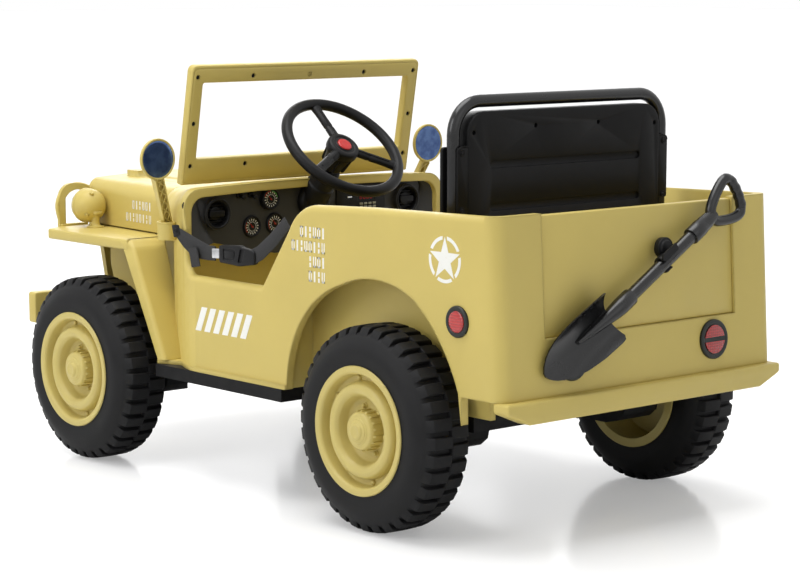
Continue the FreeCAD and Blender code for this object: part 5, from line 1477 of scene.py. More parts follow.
SOLID_HALF = ((-1.0, 0.299), (0.192, 0.299), (0.25, 0.247), (0.286, 0.216), (0.326, 0.2125), (1.0, 0.2125))
DRAWN_HALF = ((-1.0, 0.299), (0.125, 0.299), (0.14, 0.2978), (0.158, 0.2925), (0.18, 0.283), (0.205, 0.2705),
        (0.226, 0.261), (0.25, 0.252), (0.27, 0.246), (0.288, 0.24), (0.302, 0.235), (0.316, 0.224),
        (0.326, 0.2125), (1.0, 0.2125))


def between(table: Profile, place: float) -> float:
    """A value of a table of (place, value) rows, in straight runs between them."""
    for (a, one), (b, two) in zip(table, table[1:]):
        if place <= b:
            return one + (two - one) * (place - a) / (b - a)
    return table[-1][1]


def drawn_in(shape: Shape, start: float) -> Shape:
    """The cowl's sides drawn in from the door cut to the bonnet, in a soft curve.

    Args:
        shape: What follows the cowl.
        start: How far out the shape begins to move.

    Returns:
        The same shape.
    """
    for vert in shape.bm.verts:
        x, y, z = vert.co
        if x <= 0.125 or abs(y) < start:
            continue
        shift = between(DRAWN_HALF, x) - between(SOLID_HALF, x)
        share = min(1.0, (abs(y) - start) / 0.03) * (1.0 - 0.55 * min(1.0, max(0.0, (z - 0.44) / 0.045)))
        vert.co.y = math.copysign(abs(y) + shift * share, y)
    return shape


def sliced(shape: Shape, places: Iterable[float]) -> Shape:
    """A shape cut across at places along X, with nothing taken away."""
    for x in places:
        bm = shape.bm
        bmesh.ops.bisect_plane(bm, geom=bm.verts[:] + bm.edges[:] + bm.faces[:], plane_co=(x, 0.0, 0.0),
                plane_no=(1.0, 0.0, 0.0), dist=1e-6)
    return shape


@dataclass
class Tub:
    """The tub: broadly rounded rim and door cuts, and a cowl that draws in towards the bonnet."""

    half: float = 0.299
    reach: float = 0.0105

    def rim(self, shape: Shape) -> list[bmesh.types.BMEdge]:
        """The edges of the rim and the door cuts on both sides' outer faces."""
        found = []
        for edge in shape.bm.edges:
            if len(edge.link_faces) != 2 or not all(abs(abs(v.co.y) - self.half) < 2e-4 and v.co.z > 0.3
                    and -0.58 < v.co.x < 0.1935 for v in edge.verts):
                continue
            sides = sorted(abs(face.normal.y) for face in edge.link_faces)
            middle = (edge.verts[0].co + edge.verts[1].co) / 2
            upper = middle.z > 0.4 or middle.x > -0.1
            if sides[0] < 0.5 < 0.9 < sides[1] and upper:
                found.append(edge)
        return found

    def build(self) -> None:
        """Make the tub and the dashboard that follows its cowl."""
        shape = Shape().copy_of("body_tub")
        rim = self.rim(shape)
        LOG.info("rim: %d edges", len(rim))
        bmesh.ops.bevel(shape.bm, geom=rim, offset=self.reach, segments=5, profile=0.5, affect="EDGES",
                clamp_overlap=False, loop_slide=True)
        drawn_in(sliced(shape, [0.128 + 0.006 * k for k in range(33)]), 0.16).piece("tub_shell", SAND_SOFT, "car",
                ("body_tub",), 34.0)
        drawn_in(Shape().copy_of("dashboard"), 0.245).piece("dash_panel", DASH_BLACK, "car", ("dashboard",), 32.0)


@dataclass
class Fender:
    """A front fender: a lipped deck, a flange down to the sill and a sloping rear face into the cowl."""

    side: Side
    half: float = 0.3
    top: float = 0.389
    lip: float = 0.371
    skin: float = 0.005
    sill: float = 0.194

    def ridge(self, z: float) -> float:
        """The place along X of the sloping face's outer corner at a height."""
        return between(((self.sill, 0.2145), (0.376, 0.301), (0.3875, 0.315), (self.top, 0.3185)), z)

    def slope(self) -> Shape:
        """The flange and the sloping rear face, as sections stacked upwards."""
        rings = []
        for z in (self.sill, 0.22, 0.26, 0.3, 0.34, 0.37, 0.3705, 0.376, 0.379, 0.3835, 0.3875, 0.3887):
            x = self.ridge(z)
            ahead = between(((self.sill, 0.0195), (0.376, 0.03), (self.top, 0.026)), z)
            inner = between(((self.sill, 0.252), (0.29, 0.24), (0.376, 0.232), (self.top, 0.222)), z)
            side = between(((self.sill, self.half), (0.37, self.half), (0.3705, self.half - 0.0003),
                            (0.3835, self.half - 0.0003), (0.3887, self.half - 0.004)), z)
            turn = circle(x + 0.008, side - 0.008, 0.008, 6, 90, 180)
            ring = [(x + ahead, side), *turn, (x, inner), (x + self.skin, inner), (x + self.skin, side - self.skin),
                    (x + ahead, side - self.skin)]
            rings.append([(u, v, z) for u, v in ring])
        return Shape().loft(rings)

    def deck(self) -> Shape:
        """The deck with its lip and the bevelled nose."""
        def plan(inset: float, back: float, inner: float) -> list[tuple[float, float]]:
            """The deck's outline, drawn in by an inset."""
            return [(back, self.half - inset), (0.562, self.half - inset), (0.583 - inset, 0.262 - inset * 0.4),
                    (0.583 - inset, inner), (back, inner)]
        solid = Shape().prism(plan(0.0, 0.3, 0.16), self.lip, self.top, "Z").rounded(0.0035, 3, 40.0)
        under = Shape().prism(plan(self.skin, 0.29, 0.15), self.lip - 0.01, self.top - self.skin, "Z")
        behind = slab(0.29, 0.23, 0.0285, 0.1, 0.001, 1, self.lip - 0.02, 0.4, "Z")
        return carved(carved(solid, under), behind)

    def wall(self) -> Shape:
        """The wheel house's inner wall with its rounded front, and the wall behind it."""
        bow = [(0.49, 0.25), (0.517, 0.2565), (0.54, 0.27), (0.556, 0.291), (0.564, 0.315), (0.565, 0.324)]
        inner = Shape().prism([(0.25, 0.388), (0.25, 0.25), *bow, (0.565, 0.388)], 0.16, 0.165, "Y")
        rear = Shape().prism([(0.25, 0.25), (0.255, 0.25), (0.255, 0.38), (0.25, 0.38)], 0.16, 0.246, "Y")
        lining = Shape().prism([(0.318, 0.384), (0.322, 0.389), (0.33, 0.389), (0.33, 0.384)], 0.16, 0.295, "Y")
        return together([inner, rear, lining])

    def build(self) -> None:
        """Make the fender."""
        whole = together([self.deck(), self.slope(), self.wall()])
        hand = self.side.hand
        whole.mirrored(self.side).piece(f"fender_shell_{hand}", SAND, "car", (f"fender_{hand}",), 34.0)


@dataclass
class DoorStrap:
    """The webbing across the left door: a riveted tab, a folded tail, a tongue and a broad buckle."""

    y: float = 0.286
    thick: float = 0.0022

    def band(self, run: Sequence[tuple[float, float, float, float]]) -> Shape:
        """A band through (x, y, z, half width) rows."""
        rings = []
        for i, (x, y, z, half) in enumerate(run):
            back, on = run[max(i - 1, 0)], run[min(i + 1, len(run) - 1)]
            way = Vector((on[0] - back[0], on[1] - back[1], on[2] - back[2])).normalized()
            up = (Vector((0.0, 0.0, 1.0)) - way * way.z).normalized()
            out = way.cross(up)
            rings.append([Vector((x, y, z)) + up * (half * a) + out * (self.thick / 2 * b) for a,
                    b in ((1, 0.4), (0.94, 1), (-0.94, 1), (-1, 0.4), (-1, -0.4), (-0.94, -1), (0.94, -1),
                    (1, -0.4))])
        return Shape().loft(rings)

    def build(self) -> None:
        """Make every part of the strap."""
        y = self.y
        front = [(0.199, y, 0.4135, 0.008), (0.19, y + 0.0015, 0.412, 0.0085), (0.18, y + 0.0015, 0.407, 0.0105),
                (0.168, y, 0.4, 0.0135), (0.152, y - 0.001, 0.3925, 0.0155), (0.13, y - 0.0015, 0.387, 0.015),
                (0.108, y - 0.001, 0.3845, 0.0125), (0.088, y, 0.385, 0.012)]
        self.band(front).piece("strap_front", WEB, "car", ("door_strap",), 50.0)
        tail = [(0.146, y + 0.003, 0.39, 0.0095), (0.14, y + 0.0042, 0.38, 0.01), (0.137, y + 0.004, 0.368, 0.01),
                (0.136, y + 0.003, 0.359, 0.0095)]
        fold = Shape().loft([[(x + s * 0.011, yy + d, z - s * 0.002) for s, d in ((1, 0.0), (1, 0.002), (-1, 0.002),
                (-1, 0.0))] for x, yy, z, _ in tail])
        fold.piece("strap_tail", WEB, crease=50.0)
        rear = [(-0.012, y, 0.3885, 0.012), (-0.03, y, 0.396, 0.012), (-0.06, y - 0.002, 0.418, 0.0115),
                (-0.085, y - 0.003, 0.44, 0.011), (-0.096, y - 0.003, 0.45, 0.011)]
        self.band(rear).piece("strap_rear", WEB, "car", ("door_strap_rear",), 50.0)
        tab = Shape().prism(eased([(0.2045, 0.423), (0.186, 0.4245), (0.18, 0.408), (0.1985, 0.402)], 0.003, 3),
                y + 0.001, y + 0.0034, "Y").rounded(0.0006, 2, 60.0)
        tab.piece("strap_tab", BLACK)
        head = screw_head(0.0042, 0.0018).moved(turn_of(-90, "Z"))
        copies_at(head, [(0.192, y + 0.0034, 0.4145)], "strap_rivet", SCREW)
        tongue = Shape().prism(eased([(0.096, 0.393), (0.06, 0.395), (0.06, 0.379), (0.096, 0.377)], 0.002, 2),
                y - 0.0012, y + 0.0016, "Y").rounded(0.0005, 2, 60.0)
        tongue.piece("strap_tongue", CHROME)
        case = Shape().prism(eased([(0.074, 0.4005), (0.018, 0.404), (0.014, 0.4015), (-0.016, 0.3985),
                (-0.02, 0.395), (-0.02, 0.379), (-0.016, 0.3755), (0.02, 0.37), (0.074, 0.372)], 0.005, 3),
                y - 0.0055, y + 0.0045, "Y")
        case.rounded(0.0022, 3, 60.0)
        slots = [Shape().prism(eased([(0.017, 0.3985), (0.005, 0.3985), (0.012, 0.3765), (0.024, 0.3765)], 0.002,
                2), y + 0.0022, y + 0.006, "Y"), Shape().prism(eased([(0.062, 0.3955), (0.029, 0.3965),
                (0.033, 0.379), (0.062, 0.3775)], 0.003, 2), y + 0.0034, y + 0.006, "Y")]
        carved(case, together(slots)).piece("buckle_case", BLACK, "car", ("strap_buckle",), 40.0)
        press = slab(0.046, 0.387, 0.013, 0.0062, 0.002, 3, y + 0.003, y + 0.0046, "Y")
        press.rounded(0.0008, 2, 60.0).piece("buckle_press", BLACK)


@dataclass
class Markings:
    """White stencils: a star in a broken ring, rows of plain bars and a slanted stripe mark."""

    skin: float = 0.00025
    depth: float = 0.0012

    def bars(self, counts: Sequence[int], width: float, height: float, pitch: float, rise: float,
            slant: float = 0.0) -> list[list[tuple[float, float]]]:
        """Rows of upright bars that end flush on one side; without a slant some are split or hollow."""
        made = []
        for row, count in enumerate(counts):
            for k in range(count):
                u, v = -pitch * k, -rise * row
                kind = (3 * k + 2 * row) % 4 if not slant else 0
                line = width * 0.36
                parts = [(-width / 2, width / 2, 0.0, 1.0)]
                if kind == 1:
                    parts = [(-width / 2, width / 2, 0.0, 0.4), (-width / 2, width / 2, 0.55, 1.0)]
                elif kind in (2, 3):
                    parts = [(-width, -width + line * 1.6, 0.0, 1.0), (width - line * 1.6, width, 0.0, 1.0),
                            (-width, width, 0.0, 0.16), (-width, width, 0.84, 1.0)][:kind + 1]
                for left, right, low, high in parts:
                    made.append([(u + left + slant * low * height, v + low * height),
                            (u + right + slant * low * height, v + low * height),
                            (u + right + slant * high * height, v + high * height),
                            (u + left + slant * high * height, v + high * height)])
        return made

    def star(self) -> list[list[tuple[float, float]]]:
        """The star and the five parts of the ring round it."""
        tips = [(math.radians(90 + 36 * k), 0.0335 if k % 2 == 0 else 0.0132) for k in range(10)]
        made = [[(r * math.cos(a), r * math.sin(a)) for a, r in tips]]
        for k in range(5):
            first = 90 + 72 * k + 7.5
            made.append(circle(0.0, 0.0, 0.0345, 8, first, first + 57) + circle(0.0, 0.0, 0.0292, 8, first + 2,
                    first + 55)[::-1])
        return made

    def laid(self, name: str, shapes: Sequence[Sequence[tuple[float, float]]], matrix: Matrix) -> None:
        """Lay flat shapes on a surface; u and v become X and Z of the matrix, and its Y points out."""
        solid = together([Shape().prism(shape, -self.depth, self.skin, "Y") for shape in shapes])
        solid.moved(matrix).piece(name, PAINT, crease=60.0)

    def build(self) -> None:
        """Make every mark."""
        for side in Side:
            hand = side.hand
            y = 0.299 * side.value
            out = Matrix.Identity(4) if side is Side.LEFT else Matrix.Rotation(math.pi, 4, "Z")
            self.laid(f"star_{hand}", self.star(), Matrix.Translation((-0.4815, y, 0.427)) @ out)
            rows = self.bars((6, 8, 4, 4), 0.0036, 0.0168, 0.0105, 0.0228)
            mirror = Matrix.Scale(-1.0, 4, (1.0, 0.0, 0.0)) if side is Side.LEFT else Matrix.Identity(4)
            self.laid(f"rows_{hand}", rows, Matrix.Translation((-0.204, y, 0.4335)) @ out @ mirror)
            stripes = self.bars((6,), 0.015, 0.04, 0.024, 0.0, 0.45)
            self.laid(f"stripes_{hand}", stripes, Matrix.Translation((0.0, y, 0.256)) @ out @ mirror)
            turn = turn_of(-4.78 * side.value, "Z")
            seat = Matrix.Translation((0.38, 0.2081 * side.value, 0.427)) @ turn
            self.laid(f"bonnet_rows_{hand}", self.bars((6, 8), 0.0034, 0.015, 0.0112, 0.0225), seat @ out @ mirror)
        lean = turn_of(3.53, "Y")
        rear = self.bars((7,), 0.0042, 0.019, 0.0132, 0.0)
        self.laid("rear_row", rear, Matrix.Translation((-0.59975, -0.0475, 0.2755)) @ lean @ BACKWARDS
                @ Matrix.Scale(-1.0, 4, (1.0, 0.0, 0.0)))


@dataclass
class Shovel:
    """The shovel on the tailgate: dished blade, socket, shaft, collars and D-shaped grip."""

    foot: Point = (-0.6145, 0.05, 0.363)
    slope: float = 30.0
    lean: float = 0.06154
    shaft: float = 0.01
    collar: float = 0.0135
    blade_start: float = 0.047
    blade_length: float = 0.15
    blade_half: float = 0.047
    wing_rise: float = 0.0205
    plate: float = 0.003

    def frame(self) -> Matrix:
        """The shovel's own frame: Z along the shaft towards the blade, X away from the viewer."""
        slope = math.radians(self.slope)
        along = Vector((-math.sin(slope) * self.lean, math.cos(slope), -math.sin(slope))).normalized()
        ahead = Vector((1.0, 0.0, -self.lean))
        ahead = (ahead - along * ahead.dot(along)).normalized()
        across = along.cross(ahead)
        turn = Matrix((ahead, across, along)).transposed().to_4x4()
        return Matrix.Translation(self.foot) @ turn

    def outline(self, share: float) -> float:
        """The blade's half width at a share of its length."""
        table = ((0.0, 0.86), (0.03, 0.97), (0.08, 1.0), (0.35, 1.0), (0.55, 0.93), (0.7, 0.8), (0.82, 0.62),
                (0.91, 0.42), (0.97, 0.22), (1.0, 0.06))
        return self.blade_half * between(table, share)

    def surface(self, share: float, w: float) -> Vector:
        """A point of the blade's plate; w runs from -1 to 1 across it."""
        half = self.outline(share)
        reach = abs(w) * half
        bend = min(1.0, reach / self.blade_half)
        rise = self.wing_rise * bend ** 2.2 * (1.0 - 0.55 * share ** 2)
        pull = 1.0 - 0.1 * bend ** 2
        rib = 0.0035 * math.exp(-((w * half) / 0.009) ** 2) * max(0.0, 1.0 - share / 0.55)
        depth = 0.0088 - rise - rib + 0.003 * math.sin(math.pi * share)
        z = self.blade_start + share * self.blade_length - 0.006 * bend * (1 - share)
        return Vector((depth, -math.copysign(reach * pull, w), z))

    def blade(self) -> Shape:
        """The plate with its thickness."""
        shape = Shape()
        rows, columns = 30, 24
        grids = []
        for lift in (0.0, self.plate):
            grid = []
            for i in range(rows + 1):
                share = i / rows
                grid.append([shape.bm.verts.new(self.surface(share, 2 * j / columns - 1) + Vector((lift, 0, 0)))
                        for j in range(columns + 1)])
            grids.append(grid)
        near, far = grids
        for i in range(rows):
            for j in range(columns):
                shape.bm.faces.new((near[i][j], near[i + 1][j], near[i + 1][j + 1], near[i][j + 1]))
                shape.bm.faces.new((far[i][j], far[i][j + 1], far[i + 1][j + 1], far[i + 1][j]))
        edge = [(0, j) for j in range(columns + 1)] + [(i, columns) for i in range(1, rows + 1)]
        edge += [(rows, j) for j in range(columns - 1, -1, -1)] + [(i, 0) for i in range(rows - 1, 0, -1)]
        for (i, j), (k, m) in zip(edge, edge[1:] + edge[:1]):
            shape.bm.faces.new((near[i][j], near[k][m], far[k][m], far[i][j]))
        return shape.tidy()

    def socket(self) -> Shape:
        """The socket from the lower collar, which narrows into the blade's rib."""
        rows = ((-0.004, 0.0125, 0.0), (-0.002, 0.0135, 0.0), (0.024, 0.0135, 0.0), (0.034, 0.0125, 0.0005),
                (0.052, 0.0105, 0.002), (0.074, 0.0082, 0.004), (0.096, 0.0058, 0.0068), (0.116, 0.003, 0.0098))
        return Shape().tube([(x, 0.0, z) for z, _, x in rows], [r for _, r, _ in rows], 20)

    def handle(self) -> Shape:
        """The shaft with its upper collar and throat."""
        rows = ((0.002, 0.01), (-0.158, 0.01), (-0.1602, 0.01), (-0.1606, 0.0128), (-0.162, 0.0135),
                (-0.186, 0.0135), (-0.188, 0.0128), (-0.2, 0.0122), (-0.212, 0.011), (-0.222, 0.0095))
        return Shape().tube([(0.0, 0.0, z) for z, _ in rows], [r for _, r in rows], 24)

    def ridge(self) -> Shape:
        """A raised flash line along the shaft."""
        return Shape().tube([(-0.0098, 0.0, z) for z in (-0.156, -0.08, -0.004)], 0.0012, 8)

    def grip(self) -> Shape:
        """The D-shaped grip, thicker at its finger bar with four hollows."""
        spine = [(0.0, -0.009, -0.216), (0.0, -0.023, -0.24), (0.0, -0.0315, -0.262), (0.0, -0.0325, -0.274),
                (0.0, -0.024, -0.2825), (0.0, -0.008, -0.2855), (0.0, 0.008, -0.2855), (0.0, 0.024, -0.2825),
                (0.0, 0.0325, -0.274), (0.0, 0.0315, -0.262), (0.0, 0.023, -0.24), (0.0, 0.009, -0.216)]
        curve = bpy.data.curves.new("grip_line", "CURVE")
        curve.dimensions = "3D"
        line = curve.splines.new("NURBS")
        line.points.add(len(spine) - 1)
        for point, spot in zip(line.points, spine):
            point.co = (*spot, 1.0)
        line.order_u = 3
        line.use_cyclic_u = True
        line.resolution_u = 6
        holder = linked("grip_line", curve)
        mesh = bpy.data.meshes.new_from_object(holder)
        path = [tuple(v.co) for v in mesh.vertices]
        bpy.data.objects.remove(holder)
        bpy.data.meshes.remove(mesh)
        radii = []
        for _, y, z in path:
            bar = max(0.0, min(1.0, (-z - 0.268) / 0.012))
            radii.append(0.0084 + 0.0004 * bar - 0.0009 * bar * (1 + math.cos(y * 2 * math.pi / 0.0135)) / 2)
        return Shape().tube(path, radii, 14, True)

    def clip(self) -> None:
        """The clip: a knob on the tailgate with a lever, and a ring that grips the shaft."""
        seat = Matrix.Translation((-0.5955, -0.0386, 0.429)) @ turn_of(3.5, "Y")
        knob = lathe([(0.0, 0.0), (0.0, 0.0165), (0.0105, 0.0165), (0.0105, 0.0125), (0.0135, 0.0115),
                (0.0135, 0.0)], 0.0014, 2, 40)
        knob.moved(seat @ BACKWARDS).piece("clip_knob", BLACK, "car", ("shovel_clip",), 40.0)
        turn = self.frame()
        lever = Shape().prism(eased([(-0.006, -0.118), (0.006, -0.118), (0.0065, -0.085), (0.0, -0.08),
                (-0.0065, -0.085)], 0.002, 2), -0.0125, -0.0095, "X")
        lever.moved(turn @ Matrix.Translation((0.0, -0.013, 0.0))).piece("clip_lever", BLACK)
        ring = Shape().turned(eased([(-0.0975, 0.0103), (-0.0975, 0.0136), (-0.0835, 0.0136), (-0.0835, 0.0103)],
                0.001, 2), 40, -120, 150)
        ring.moved(turn @ turn_of(-90, "X") @ MIRROR)
        ring.piece("clip_ring", BLACK, crease=40.0)

    def build(self) -> None:
        """Make the shovel and its clip."""
        turn = self.frame()
        parts = [self.blade(), self.socket(), self.handle(), self.ridge(), self.grip()]
        loose = [part.moved(turn).piece(f"shovel_part_{i}", BLACK, None) for i, part in enumerate(parts)]
        joined("shovel_whole", loose, SHOVEL_BLACK, "car", ("shovel",), 45.0)
        self.clip()


@dataclass
class Studio:
    """The photograph's camera, a pale floor and soft lamps."""

    eye: Point = (-3.0574, 2.6451, 0.8399)
    yaw: float = -41.93
    pitch: float = -8.73
    roll: float = 0.14
    focal: float = 2415.96
    middle: tuple[float, float] = (427.94, 342.83)
    width: float = 800.0
    height: float = 586.0
    sensor: float = 36.0
    aim: Point = (0.0, 0.0, 0.3)
    floor_reach: float = 40.0
    floor_glow: float = 0.3
    world_light: float = 0.42

    def camera(self) -> None:
        """Place the camera; focal and middle are in the photograph's pixels."""
        yaw, pitch, roll = (math.radians(a) for a in (self.yaw, self.pitch, self.roll))
        ahead = Vector((math.cos(pitch) * math.cos(yaw), math.cos(pitch) * math.sin(yaw), math.sin(pitch)))
        level = Vector((math.sin(yaw), -math.cos(yaw), 0.0))
        top = level.cross(ahead)
        right = level * math.cos(roll) + top * math.sin(roll)
        up = top * math.cos(roll) - level * math.sin(roll)
        data = bpy.data.cameras.new("photo_camera")
        data.sensor_width = self.sensor
        data.lens = self.focal * self.sensor / self.width
        data.shift_x = (self.width / 2 - self.middle[0]) / self.width
        data.shift_y = (self.middle[1] - self.height / 2) / self.width
        data.clip_start, data.clip_end = 0.1, 100.0
        made = linked("photo_camera", data)
        turn = Matrix((right, up, -ahead)).transposed()
        made.matrix_world = Matrix.Translation(self.eye) @ turn.to_4x4()
        bpy.context.scene.camera = made

    def floor(self) -> None:
        """A pale floor with a faint polish that keeps the car's shadow."""
        graph = Graph("studio_floor")
        rays = graph.node("ShaderNodeLightPath", output="Is Camera Ray")
        tone = graph.tint(graph.noise(0.9, 2.0), linear((250, 250, 250)), linear((253, 253, 253)))
        shader = graph.node("ShaderNodeBsdfPrincipled", inputs={"Base Color": tone, "Roughness": 0.16,
                "Emission Color": (1, 1, 1, 1), "Emission Strength": rays * self.floor_glow})
        graph.node_out(shader)
        mesh = bpy.data.meshes.new("studio_floor")
        reach = self.floor_reach
        mesh.from_pydata([(-reach, -reach, 0), (reach, -reach, 0), (reach, reach, 0), (-reach, reach, 0)], [],
                [(0, 1, 2, 3)])
        mesh.materials.append(graph.material)
        linked("studio_floor", mesh)

    def lamp(self, name: str, spot: Point, power: float, size: float) -> None:
        """A square softbox that looks at the car's middle."""
        data = bpy.data.lights.new(name, "AREA")
        data.energy = power
        data.size = size
        made = linked(name, data)
        made.location = spot
        made.rotation_euler = (Vector(self.aim) - Vector(spot)).to_track_quat("-Z", "Y").to_euler()

    def light(self) -> None:
        """Lamps over both shoulders, one above, and a plain pale world."""
        for name, spot, power, size in (("left", (0.4, 4.2, 2.4), 60.0, 2.4), ("rear", (-4.0, 0.2, 2.0), 7.0, 2.2),
                ("front", (3.8, -2.4, 2.4), 50.0, 2.4), ("top", (0.2, 0.6, 4.0), 125.0, 3.0)):
            self.lamp(name + "_softbox", spot, power, size)
        world = bpy.data.worlds.new("studio_world")
        bpy.context.scene.world = world
        graph = Graph("studio_world", world)
        seen, gloss, glass = (graph.node("ShaderNodeLightPath", output=f"Is {ray} Ray") for ray in ("Camera",
                "Glossy", "Transmission"))
        for other in (gloss, glass):
            seen = seen.maths("MAXIMUM", seen, other)
        strength = graph.span(seen, 0.0, 1.0, self.world_light, 1.0)
        graph.node_out(graph.node("ShaderNodeBackground", inputs={"Strength": strength, "Color": (1, 1, 1, 1)}),
                "ShaderNodeOutputWorld")

    def build(self) -> None:
        """Camera, floor and lamps."""
        self.camera()
        self.floor()
        self.light()
        bpy.context.scene.view_settings.view_transform = "Standard"


@dataclass
class Tyre:
    """A bar-lugged tyre: a rounded carcass and two staggered rows of lugs that wrap over its shoulders."""

    radius: float = 0.1586
    lug_depth: float = 0.009
    lug_count: int = 36
    lug_width: float = 0.0184
    inner: float = 0.246
    outer: float = 0.344
    tread_inner: float = 0.263
    tread_outer: float = 0.327
    bore: float = 0.0923

    def measures(self) -> tuple[float, float, float]:
        """Its middle along Y, the tread's half width and the radius between the lugs."""
        return ((self.inner + self.outer) / 2, (self.tread_outer - self.tread_inner) / 2,
                self.radius - self.lug_depth)

    def carcass(self) -> Shape:
        """The tyre without its lugs, about the Y axis."""
        middle, tread, root = self.measures()
        half = (self.outer - self.inner) / 2
        side = [(half - 0.001, self.bore), (half, self.bore + 0.004), (half - 0.0006, self.bore + 0.006),
                (half, self.bore + 0.012), (half + 0.001, self.bore + 0.026), (half - 0.0005, self.bore + 0.036),
                (tread + 0.01, root - 0.0085), (tread + 0.004, root - 0.0022), (tread - 0.006, root),
                (0.0012, root + 0.001), (0.0012, self.radius - 0.001)]
        run = [(middle + y, r) for y, r in side] + [(middle - y, r) for y, r in reversed(side)]
        return Shape().turned(eased(run, 0.004, 2), 144)

    def lug(self, hand: float) -> Shape:
        """One lug above the axis, on the outer row for hand 1 and the inner for -1."""
        middle, tread, root = self.measures()
        half = self.lug_width / 2
        crest = math.sqrt(self.radius ** 2 - half ** 2) - 0.00002
        run = [(0.0004, root - 0.002), (0.0004, crest), (tread - 0.006, crest - 0.0006),
                (tread + 0.001, crest - 0.0026), (tread + 0.0045, crest - 0.0075), (tread + 0.0085, root - 0.009),
                (tread + 0.0115, root - 0.019), (tread + 0.0095, root - 0.019), (tread + 0.002, root - 0.008),
                (tread - 0.006, root - 0.002)]
        shape = Shape()
        sections = []
        for x, shrink in ((-half, 0.0011), (-half + 0.0011, 0.0), (half - 0.0011, 0.0), (half, 0.0011)):
            ring = []
            for y, r in run:
                drop = shrink if r > root - 0.006 else shrink * 0.4
                ring.append((x, middle + hand * y, r - drop))
            sections.append(ring)
        return shape.loft(sections)

    def build(self, node: str, body: str, x: float, side: Side) -> None:
        """Make a tyre in place of its CAD node."""
        name = "fitted_" + node
        carcass = self.carcass().piece(name + "_carcass", TYRE, None)
        rows = []
        pitch = 2 * math.pi / self.lug_count
        for hand, first in ((1.0, 0.0), (-1.0, pitch / 2)):
            rows.append(ring_of(self.lug(hand), self.lug_count, f"{name}_row", TYRE, None, first))
        made = joined(name, [carcass, *rows], TYRE, body, (node,), 32.0)
        shift = Matrix.Translation((x, 0.0, self.radius))
        if side is Side.RIGHT:
            shift = shift @ MIRROR
            made.data.flip_normals()
        made.data.transform(shift)


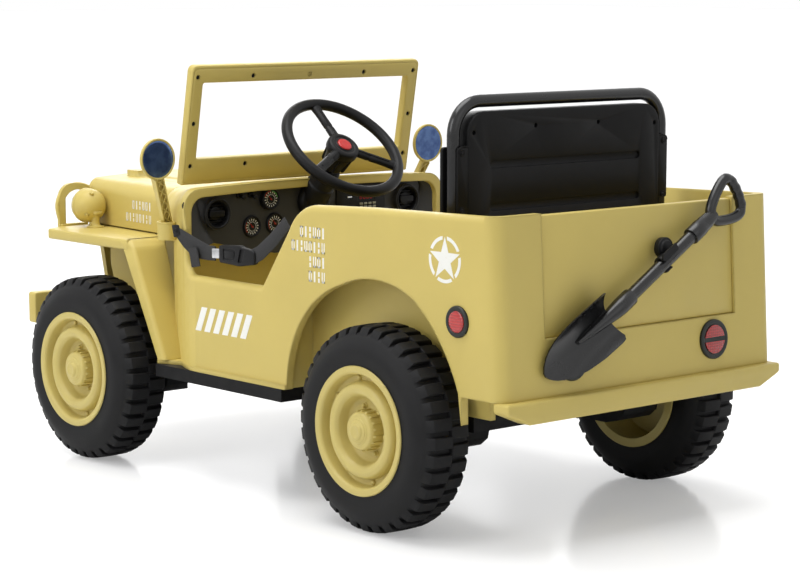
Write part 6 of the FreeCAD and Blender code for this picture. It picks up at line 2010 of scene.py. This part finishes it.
@dataclass
class Wheel:
    """A dished wheel: flat lip, bolted groove, rounded ring, bowl with studs and a ribbed hub."""

    face: float = 0.3465
    rim: float = 0.0994
    axle_z: float = 0.1586
    bolt_count: int = 8
    stud_count: int = 6
    rib_count: int = 18

    def disc(self) -> Shape:
        """The turned wheel about the Y axis."""
        f, r = self.face, self.rim
        front = [(f, r - 0.0012), (f, r - 0.0094), (f - 0.003, r - 0.0124), (f - 0.0195, r - 0.015),
                (f - 0.021, r - 0.0245), (f - 0.012, r - 0.0254), (f - 0.0052, r - 0.029), (f - 0.0028, r - 0.035),
                (f - 0.004, r - 0.0415), (f - 0.009, r - 0.046), (f - 0.024, r - 0.05), (f - 0.029, r - 0.056),
                (f - 0.029, 0.0325), (f - 0.0265, 0.03), (f - 0.0085, 0.0296), (f - 0.0035, 0.027),
                (f - 0.0028, 0.0215), (f - 0.0012, 0.0205), (f - 0.0012, 0.0185), (f + 0.0004, 0.0178),
                (f + 0.0012, 0.0135), (f + 0.003, 0.0126), (f + 0.0045, 0.009), (f + 0.0036, 0.006),
                (f + 0.0036, 0.0)]
        back = [(0.335, 0.0), (0.335, 0.0063), (0.262, 0.0063), (0.262, 0.02), (f - 0.038, 0.022),
                (f - 0.035, 0.068), (f - 0.04, 0.085), (0.243, 0.085), (0.243, r), (0.2457, r), (0.2457, 0.092),
                (f - 0.0022, 0.092), (f - 0.0022, r)]
        return Shape().turned(eased(front, 0.0022, 3, False) + back, 96)

    def bolt(self) -> Shape:
        """A small round-headed bolt in the groove."""
        seat = self.face - 0.02
        shape = Shape().turned([(seat - 0.002, 0.0), (seat - 0.002, 0.0042), (seat + 0.002, 0.004),
                (seat + 0.0036, 0.0026), (seat + 0.004, 0.0)], 14)
        return shape.moved(Matrix.Translation((0.0, 0.0, self.rim - 0.0195)))

    def stud(self) -> Shape:
        """A stepped stud round the hub."""
        seat = self.face - 0.029
        shape = Shape().turned([(seat - 0.002, 0.0), (seat - 0.002, 0.0046), (seat + 0.0016, 0.0046),
                (seat + 0.0022, 0.0034), (seat + 0.0062, 0.0032), (seat + 0.0074, 0.002), (seat + 0.0076, 0.0)], 12)
        return shape.moved(Matrix.Translation((0.0, 0.0, 0.0372)))

    def rib(self) -> Shape:
        """One rib along the hub's side."""
        low, high = self.face - 0.0285, self.face - 0.008
        run = [(low, 0.029), (low, 0.0318), (high - 0.003, 0.0313), (high, 0.029)]
        return Shape().prism([(y, r) for y, r in run], -0.0016, 0.0016, "X").tidy()

    def build(self, name: str, node: str, body: str, x: float, side: Side) -> None:
        """Make a wheel in place of its CAD node."""
        shift = Matrix.Translation((x, 0.0, self.axle_z))
        if side is Side.RIGHT:
            shift = shift @ MIRROR
        self.disc().moved(shift).piece(name, SAND_WHEEL, body, (node,), 28.0)
        ring_of(self.bolt(), self.bolt_count, name + "_bolts", SAND_WHEEL, body, 0.2, shift)
        ring_of(self.stud(), self.stud_count, name + "_studs", SAND_WHEEL, body, 0.35, shift)
        ring_of(self.rib(), self.rib_count, name + "_ribs", SAND_WHEEL, body, 0.0, shift)


@dataclass
class Shells:
    """The moulded shells: CAD surfaces carried over with rounded edges."""

    crease: float = 32.0

    def plan(self) -> tuple[tuple[Finish, float, int, tuple[str, ...]], ...]:
        """Every CAD node that keeps its form, in rows: finish, rounding, its faces, nodes."""
        housings = tuple(f"gear_housing_{end}_{side.hand}" for end in ("rear", "front") for side in Side)
        return ((SAND, 0.0, 2, ("bonnet", "grille_panel")), (SAND, 0.004, 3, ("front_bumper", "rear_bumper")),
                (SAND, 0.002, 2, ("tailgate",)), (SEAT_BLACK, 0.006, 3, ("seat_base",)),
                (FLOOR_BLACK, 0.0, 2, ("chassis",)), (FLOOR_BLACK, 0.002, 2, ("battery",)),
                (STEEL, 0.0, 2, ("front_axle_beam", "rear_axle")), (FLOOR_BLACK, 0.002, 2, housings),
                (STEEL, 0.0, 2, ("knuckle_left", "knuckle_right", "tie_rod", "steering_shaft")))

    def build(self) -> None:
        """Carry every planned node over."""
        for finish, edge, steps, nodes in self.plan():
            for node in nodes:
                shape = Shape().copy_of(node)
                if edge:
                    shape.rounded(edge, steps)
                shape.piece("fitted_" + node, finish, frame["nodes"][node]["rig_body"], (node,), self.crease)


def wheels() -> None:
    """The four wheels and tyres."""
    for end, x in (("front", 0.4228), ("rear", -0.3388)):
        for side in Side:
            body = f"{end}_{side.hand}_wheel"
            Tyre().build(f"tyre_{end}_{side.hand}", body, x, side)
            Wheel().build(f"dish_{end}_{side.hand}", f"wheel_{end}_{side.hand}", body, x, side)


def main() -> None:
    """Build the studio and every sub-assembly of the car."""
    logging.basicConfig(level=logging.INFO, format="%(name)s %(message)s")
    Studio().build()
    Shells().build()
    wheels()
    for made in (WindscreenFrame, SeatBack, SteeringWheel, Dashboard, RearLamps, Shovel, Tub, DoorStrap, Markings):
        made().build()
    for side in Side:
        for made in (Fender, Mirror, Headlamp):
            made(side).build()


if __name__ == "__main__":
    main()
